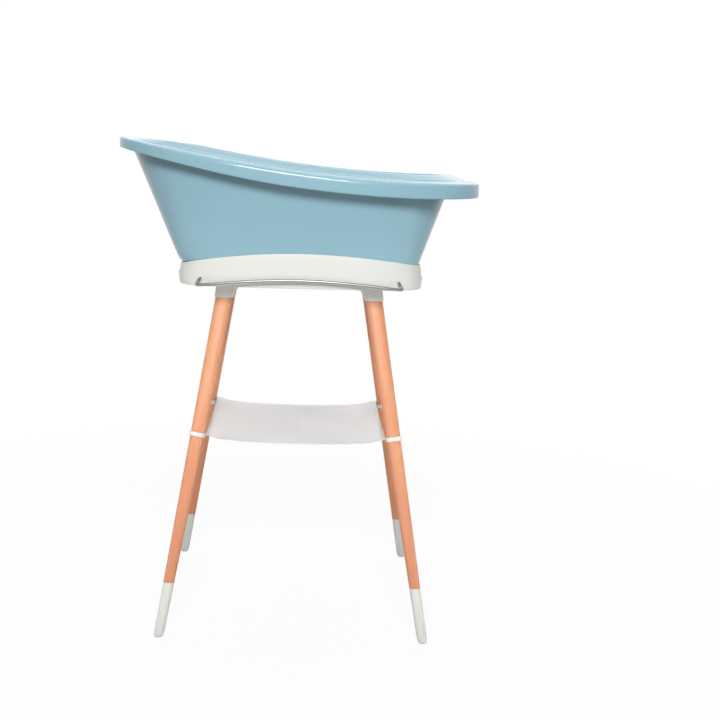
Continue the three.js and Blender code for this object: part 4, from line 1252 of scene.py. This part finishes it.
SEAT_FOOT_X, SEAT_HEAD_X, SEAT_T = 128.0, -322.0, 4.0
SEAT_PANEL_Y, SEAT_PANEL_T, SEAT_PANEL_TOP = 66.0, 5.0, 150.0
SEAT_SLOTS_X, SLOT_HALF_X, SLOT_HALF_Y = (112.0, 60.0), 1.6, 9.0
POMMEL_HEIGHT, POMMEL_SHARE = 26.0, 0.2
seat_half = profile_line([
    (0, 26), (0.03, 39), (0.09, 44), (0.16, 56), (0.26, 102), (0.36, 116), (0.55, 113), (0.75, 116),
    (0.86, 105), (0.93, 85), (0.98, 55), (1, 30),
])
seat_spine = profile_line([
    (0, 44), (0.12, 43), (0.22, 33), (0.34, 29), (0.52, 33), (0.65, 62), (0.8, 122), (1, 196),
])
seat_wing = profile_line([(0, 2), (0.12, 4), (0.2, 22), (0.3, 46), (0.55, 44), (0.8, 34), (1, 10)])


def seat_top(share, across):
    """Height of the seat's upper face at a share of its length and of its half width."""
    wing = seat_wing(share) * smoothstep(np.abs(across), 0.34, 0.82)
    away = np.hypot((share - POMMEL_SHARE) / 0.06, across / 0.3)
    pommel = POMMEL_HEIGHT * (1 - smoothstep(away, 0.2, 1.2))
    return FLOOR_TOP_Z + seat_spine(share) + wing + pommel


class BATHTUB_OT_seat(bpy.types.Operator):
    """Make the bath seat with its lip, pommel, feet and arches"""
    bl_idname = "bathtub.seat"
    bl_label = "Bath seat"

    def sheet(self, name, under, over, lip=0.0):
        """The seat's shell as a closed sheet, with a groove inside its lip."""
        columns, rows = 113, 57
        shares, acrosses = np.linspace(0, 1, columns), np.linspace(-1, 1, rows)
        top, bottom = [], []
        for across in acrosses:
            x = SEAT_FOOT_X + (SEAT_HEAD_X - SEAT_FOOT_X) * shares
            z = seat_top(shares, across)
            groove = lip * np.exp(-((abs(across) - 0.87) / 0.022) ** 2) * smoothstep(shares, 0.3, 0.42)
            round_off = 1.1 * smoothstep(abs(across), 0.97, 1.0) if lip else 0.0
            top.append(ring_of(x, across * seat_half(shares), z + over - groove - round_off))
            bottom.append(ring_of(x, across * seat_half(shares), z - under + round_off))
        return sheet_between(name, np.array(top), np.array(bottom))

    def panel(self, y):
        """A side panel: a front foot, an arch and a rear leg."""
        foot, high = FLOOR_TOP_Z + GAP, FLOOR_TOP_Z + SEAT_PANEL_TOP
        outline = [(30, foot), (-58, foot), (-66, foot + 20)]
        for start, bend, end in (((-66, 20), (-74, 48), (-106, 52)), ((-106, 52), (-130, 50), (-134, 20))):
            for t in np.linspace(0, 1, 13)[1:]:
                weights = ((1 - t) ** 2, 2 * t * (1 - t), t * t)
                x, z = (sum(w * v for w, v in zip(weights, values)) for values in zip(start, bend, end))
                outline.append((x, foot + z))
        outline += [(-138, foot), (-158, foot), (-168, foot + 14), (-170, high), (30, high)]
        half, count = SEAT_PANEL_T / 2, len(outline)
        points = [(x, y + side * half, z) for side in (-1, 1) for x, z in outline]
        faces = [tuple(range(count)), tuple(range(2 * count - 1, count - 1, -1))]
        faces += [(i, i + count, (i + 1) % count + count, (i + 1) % count) for i in range(count)]
        return bevelled(new_object("panel", points, faces), 1.0, 2, 25)

    def execute(self, context):
        look = context.scene.bathtub_seat
        plastic = moulded_plastic("Seat plastic", look.colour, look.roughness, 0.5, 0.02)
        foot, high = FLOOR_TOP_Z + GAP, FLOOR_TOP_Z + SEAT_PANEL_TOP
        walls = self.panel(-SEAT_PANEL_Y)
        cross = block("cross", (24.5, -SEAT_PANEL_Y, foot), (29.5, SEAT_PANEL_Y, high))
        joined(walls, self.panel(SEAT_PANEL_Y), cross)
        cut(walls, self.sheet("above", SEAT_T / 2, 300.0))
        seat = self.sheet("seat", SEAT_T, 0.0, 1.0)
        joined(seat, walls)
        for x in SEAT_SLOTS_X:
            low = (x - SLOT_HALF_X, -SLOT_HALF_Y, FLOOR_TOP_Z + 20)
            slot = block("slot", low, (x + SLOT_HALF_X, SLOT_HALF_Y, FLOOR_TOP_Z + 70))
            cut(seat, bevelled(slot, 1.4, 3))
        finished(seat, plastic, "bath_seat", ["seat_shell"], 42)
        self.cup(look)
        return {"FINISHED"}

    def cup(self, look):
        """The suction cup, and the necked stem that holds it under the tongue."""
        grey = rubber("Cup rubber", look.cup_colour, 0.32)
        low, high = limits("suction_cup")
        x, base = (low.x + high.x) / 2, low.z
        cup = turned("suction_cup_rubber", [
            (0, base + 2), (18.6, base + 1.2), (30, base), (30.8, base + 0.4), (31, base + 1.2),
            (29.5, base + 2), (24, base + 3.4), (18.6, base + 4.9), (13, base + 7.4), (9.4, base + 10.6),
            (8, high.z), (0, high.z),
        ], x)
        finished(cup, grey, "bath_seat", ["suction_cup"])
        low, high = limits("suction_stem")
        wide = (high.x - low.x) / 2
        stem = turned("suction_stem_rubber", [
            (0, low.z), (6.2, low.z), (7, low.z + 1), (6.4, low.z + 3), (5.4, low.z + 6), (6.8, low.z + 9),
            (7.0, low.z + 11), (wide - 4, high.z - 7), (wide - 0.4, high.z - 3.2), (wide, high.z - 2.2),
            (wide, high.z - 0.6), (wide - 0.6, high.z), (0, high.z),
        ], x)
        finished(stem, grey, "bath_seat", ["suction_stem"])


class BATHTUB_OT_hose(bpy.types.Operator):
    """Make the drain hose that lies on the tub's floor, and its connector"""
    bl_idname = "bathtub.hose"
    bl_label = "Drain hose"

    half_route = (
        (2, 96), (30, 96), (60, 96), (90, 96), (116, 96), (141, 93), (164, 83), (184, 68), (199, 48),
        (209, 25),
    )

    def execute(self, context):
        look = context.scene.bathtub_hose
        white = moulded_plastic("Hose plastic", look.colour, 0.38, 0.1)
        z = FLOOR_TOP_Z + GAP + HOSE_R
        route = [(x, -y, z) for x, y in self.half_route] + [(212, 0, z)]
        route += [(x, y, z) for x, y in reversed(self.half_route)]
        points = smooth_line(route, 180)
        length = np.linalg.norm(np.diff(points, axis=0), axis=1).sum() * MM
        hose = rod("drain_hose", points, HOSE_R, 28, white)
        finished(hose, white, "tub", ["hose_tube"], 50)
        low, high = limits("hose_connector")
        plate = block("plate", low, (low.x + 5, high.y, high.z))
        bevelled(plate, 1.8, 4)
        barrel = turned("barrel", [
            (0, 0), (7.4, 0), (8.6, 0.8), (8.6, 2.6), (8.0, 3.4), (8.0, 5), (8.6, 5.8), (8.6, 8), (9, 9),
            (9, 17), (0, 17),
        ], sides=64)
        place = (high.x, route[0][1], low.z + 9)
        joined(plate, placed(barrel, place, -math.pi / 2, "Y"))
        plate.name = "connector"
        finished(plate, white, "tub", ["hose_connector"])
        [value * MM for value in route[0]]
        return {"FINISHED"}


class BATHTUB_PT_panel(bpy.types.Panel):
    """Lists the bathtub's pieces and settings"""
    bl_idname = "BATHTUB_PT_panel"
    bl_label = "Baby bathtub"
    bl_space_type = "VIEW_3D"
    bl_region_type = "UI"
    bl_category = "Bathtub"

    def draw(self, context):
        for operator in OPERATORS:
            self.layout.operator(operator.bl_idname)
        for name, group in SETTINGS.items():
            box = self.layout.box()
            for prop in group.__annotations__:
                box.prop(getattr(context.scene, name), prop)


OPERATORS = (
    BATHTUB_OT_stage, BATHTUB_OT_hose, BATHTUB_OT_tub, BATHTUB_OT_drain, BATHTUB_OT_ring, BATHTUB_OT_rails,
    BATHTUB_OT_legs, BATHTUB_OT_shelf, BATHTUB_OT_seat,
)
CLASSES = (*SETTINGS.values(), *OPERATORS, BATHTUB_PT_panel)


def register():
    for cls in CLASSES:
        bpy.utils.register_class(cls)
    for name, group in SETTINGS.items():
        setattr(bpy.types.Scene, name, PointerProperty(type=group))


def unregister():
    for name in SETTINGS:
        delattr(bpy.types.Scene, name)
    for cls in reversed(CLASSES):
        bpy.utils.unregister_class(cls)


def main():
    register()
    for operator in OPERATORS:
        area, name = operator.bl_idname.split(".")
        getattr(getattr(bpy.ops, area), name)()


if __name__ == "__main__":
    main()
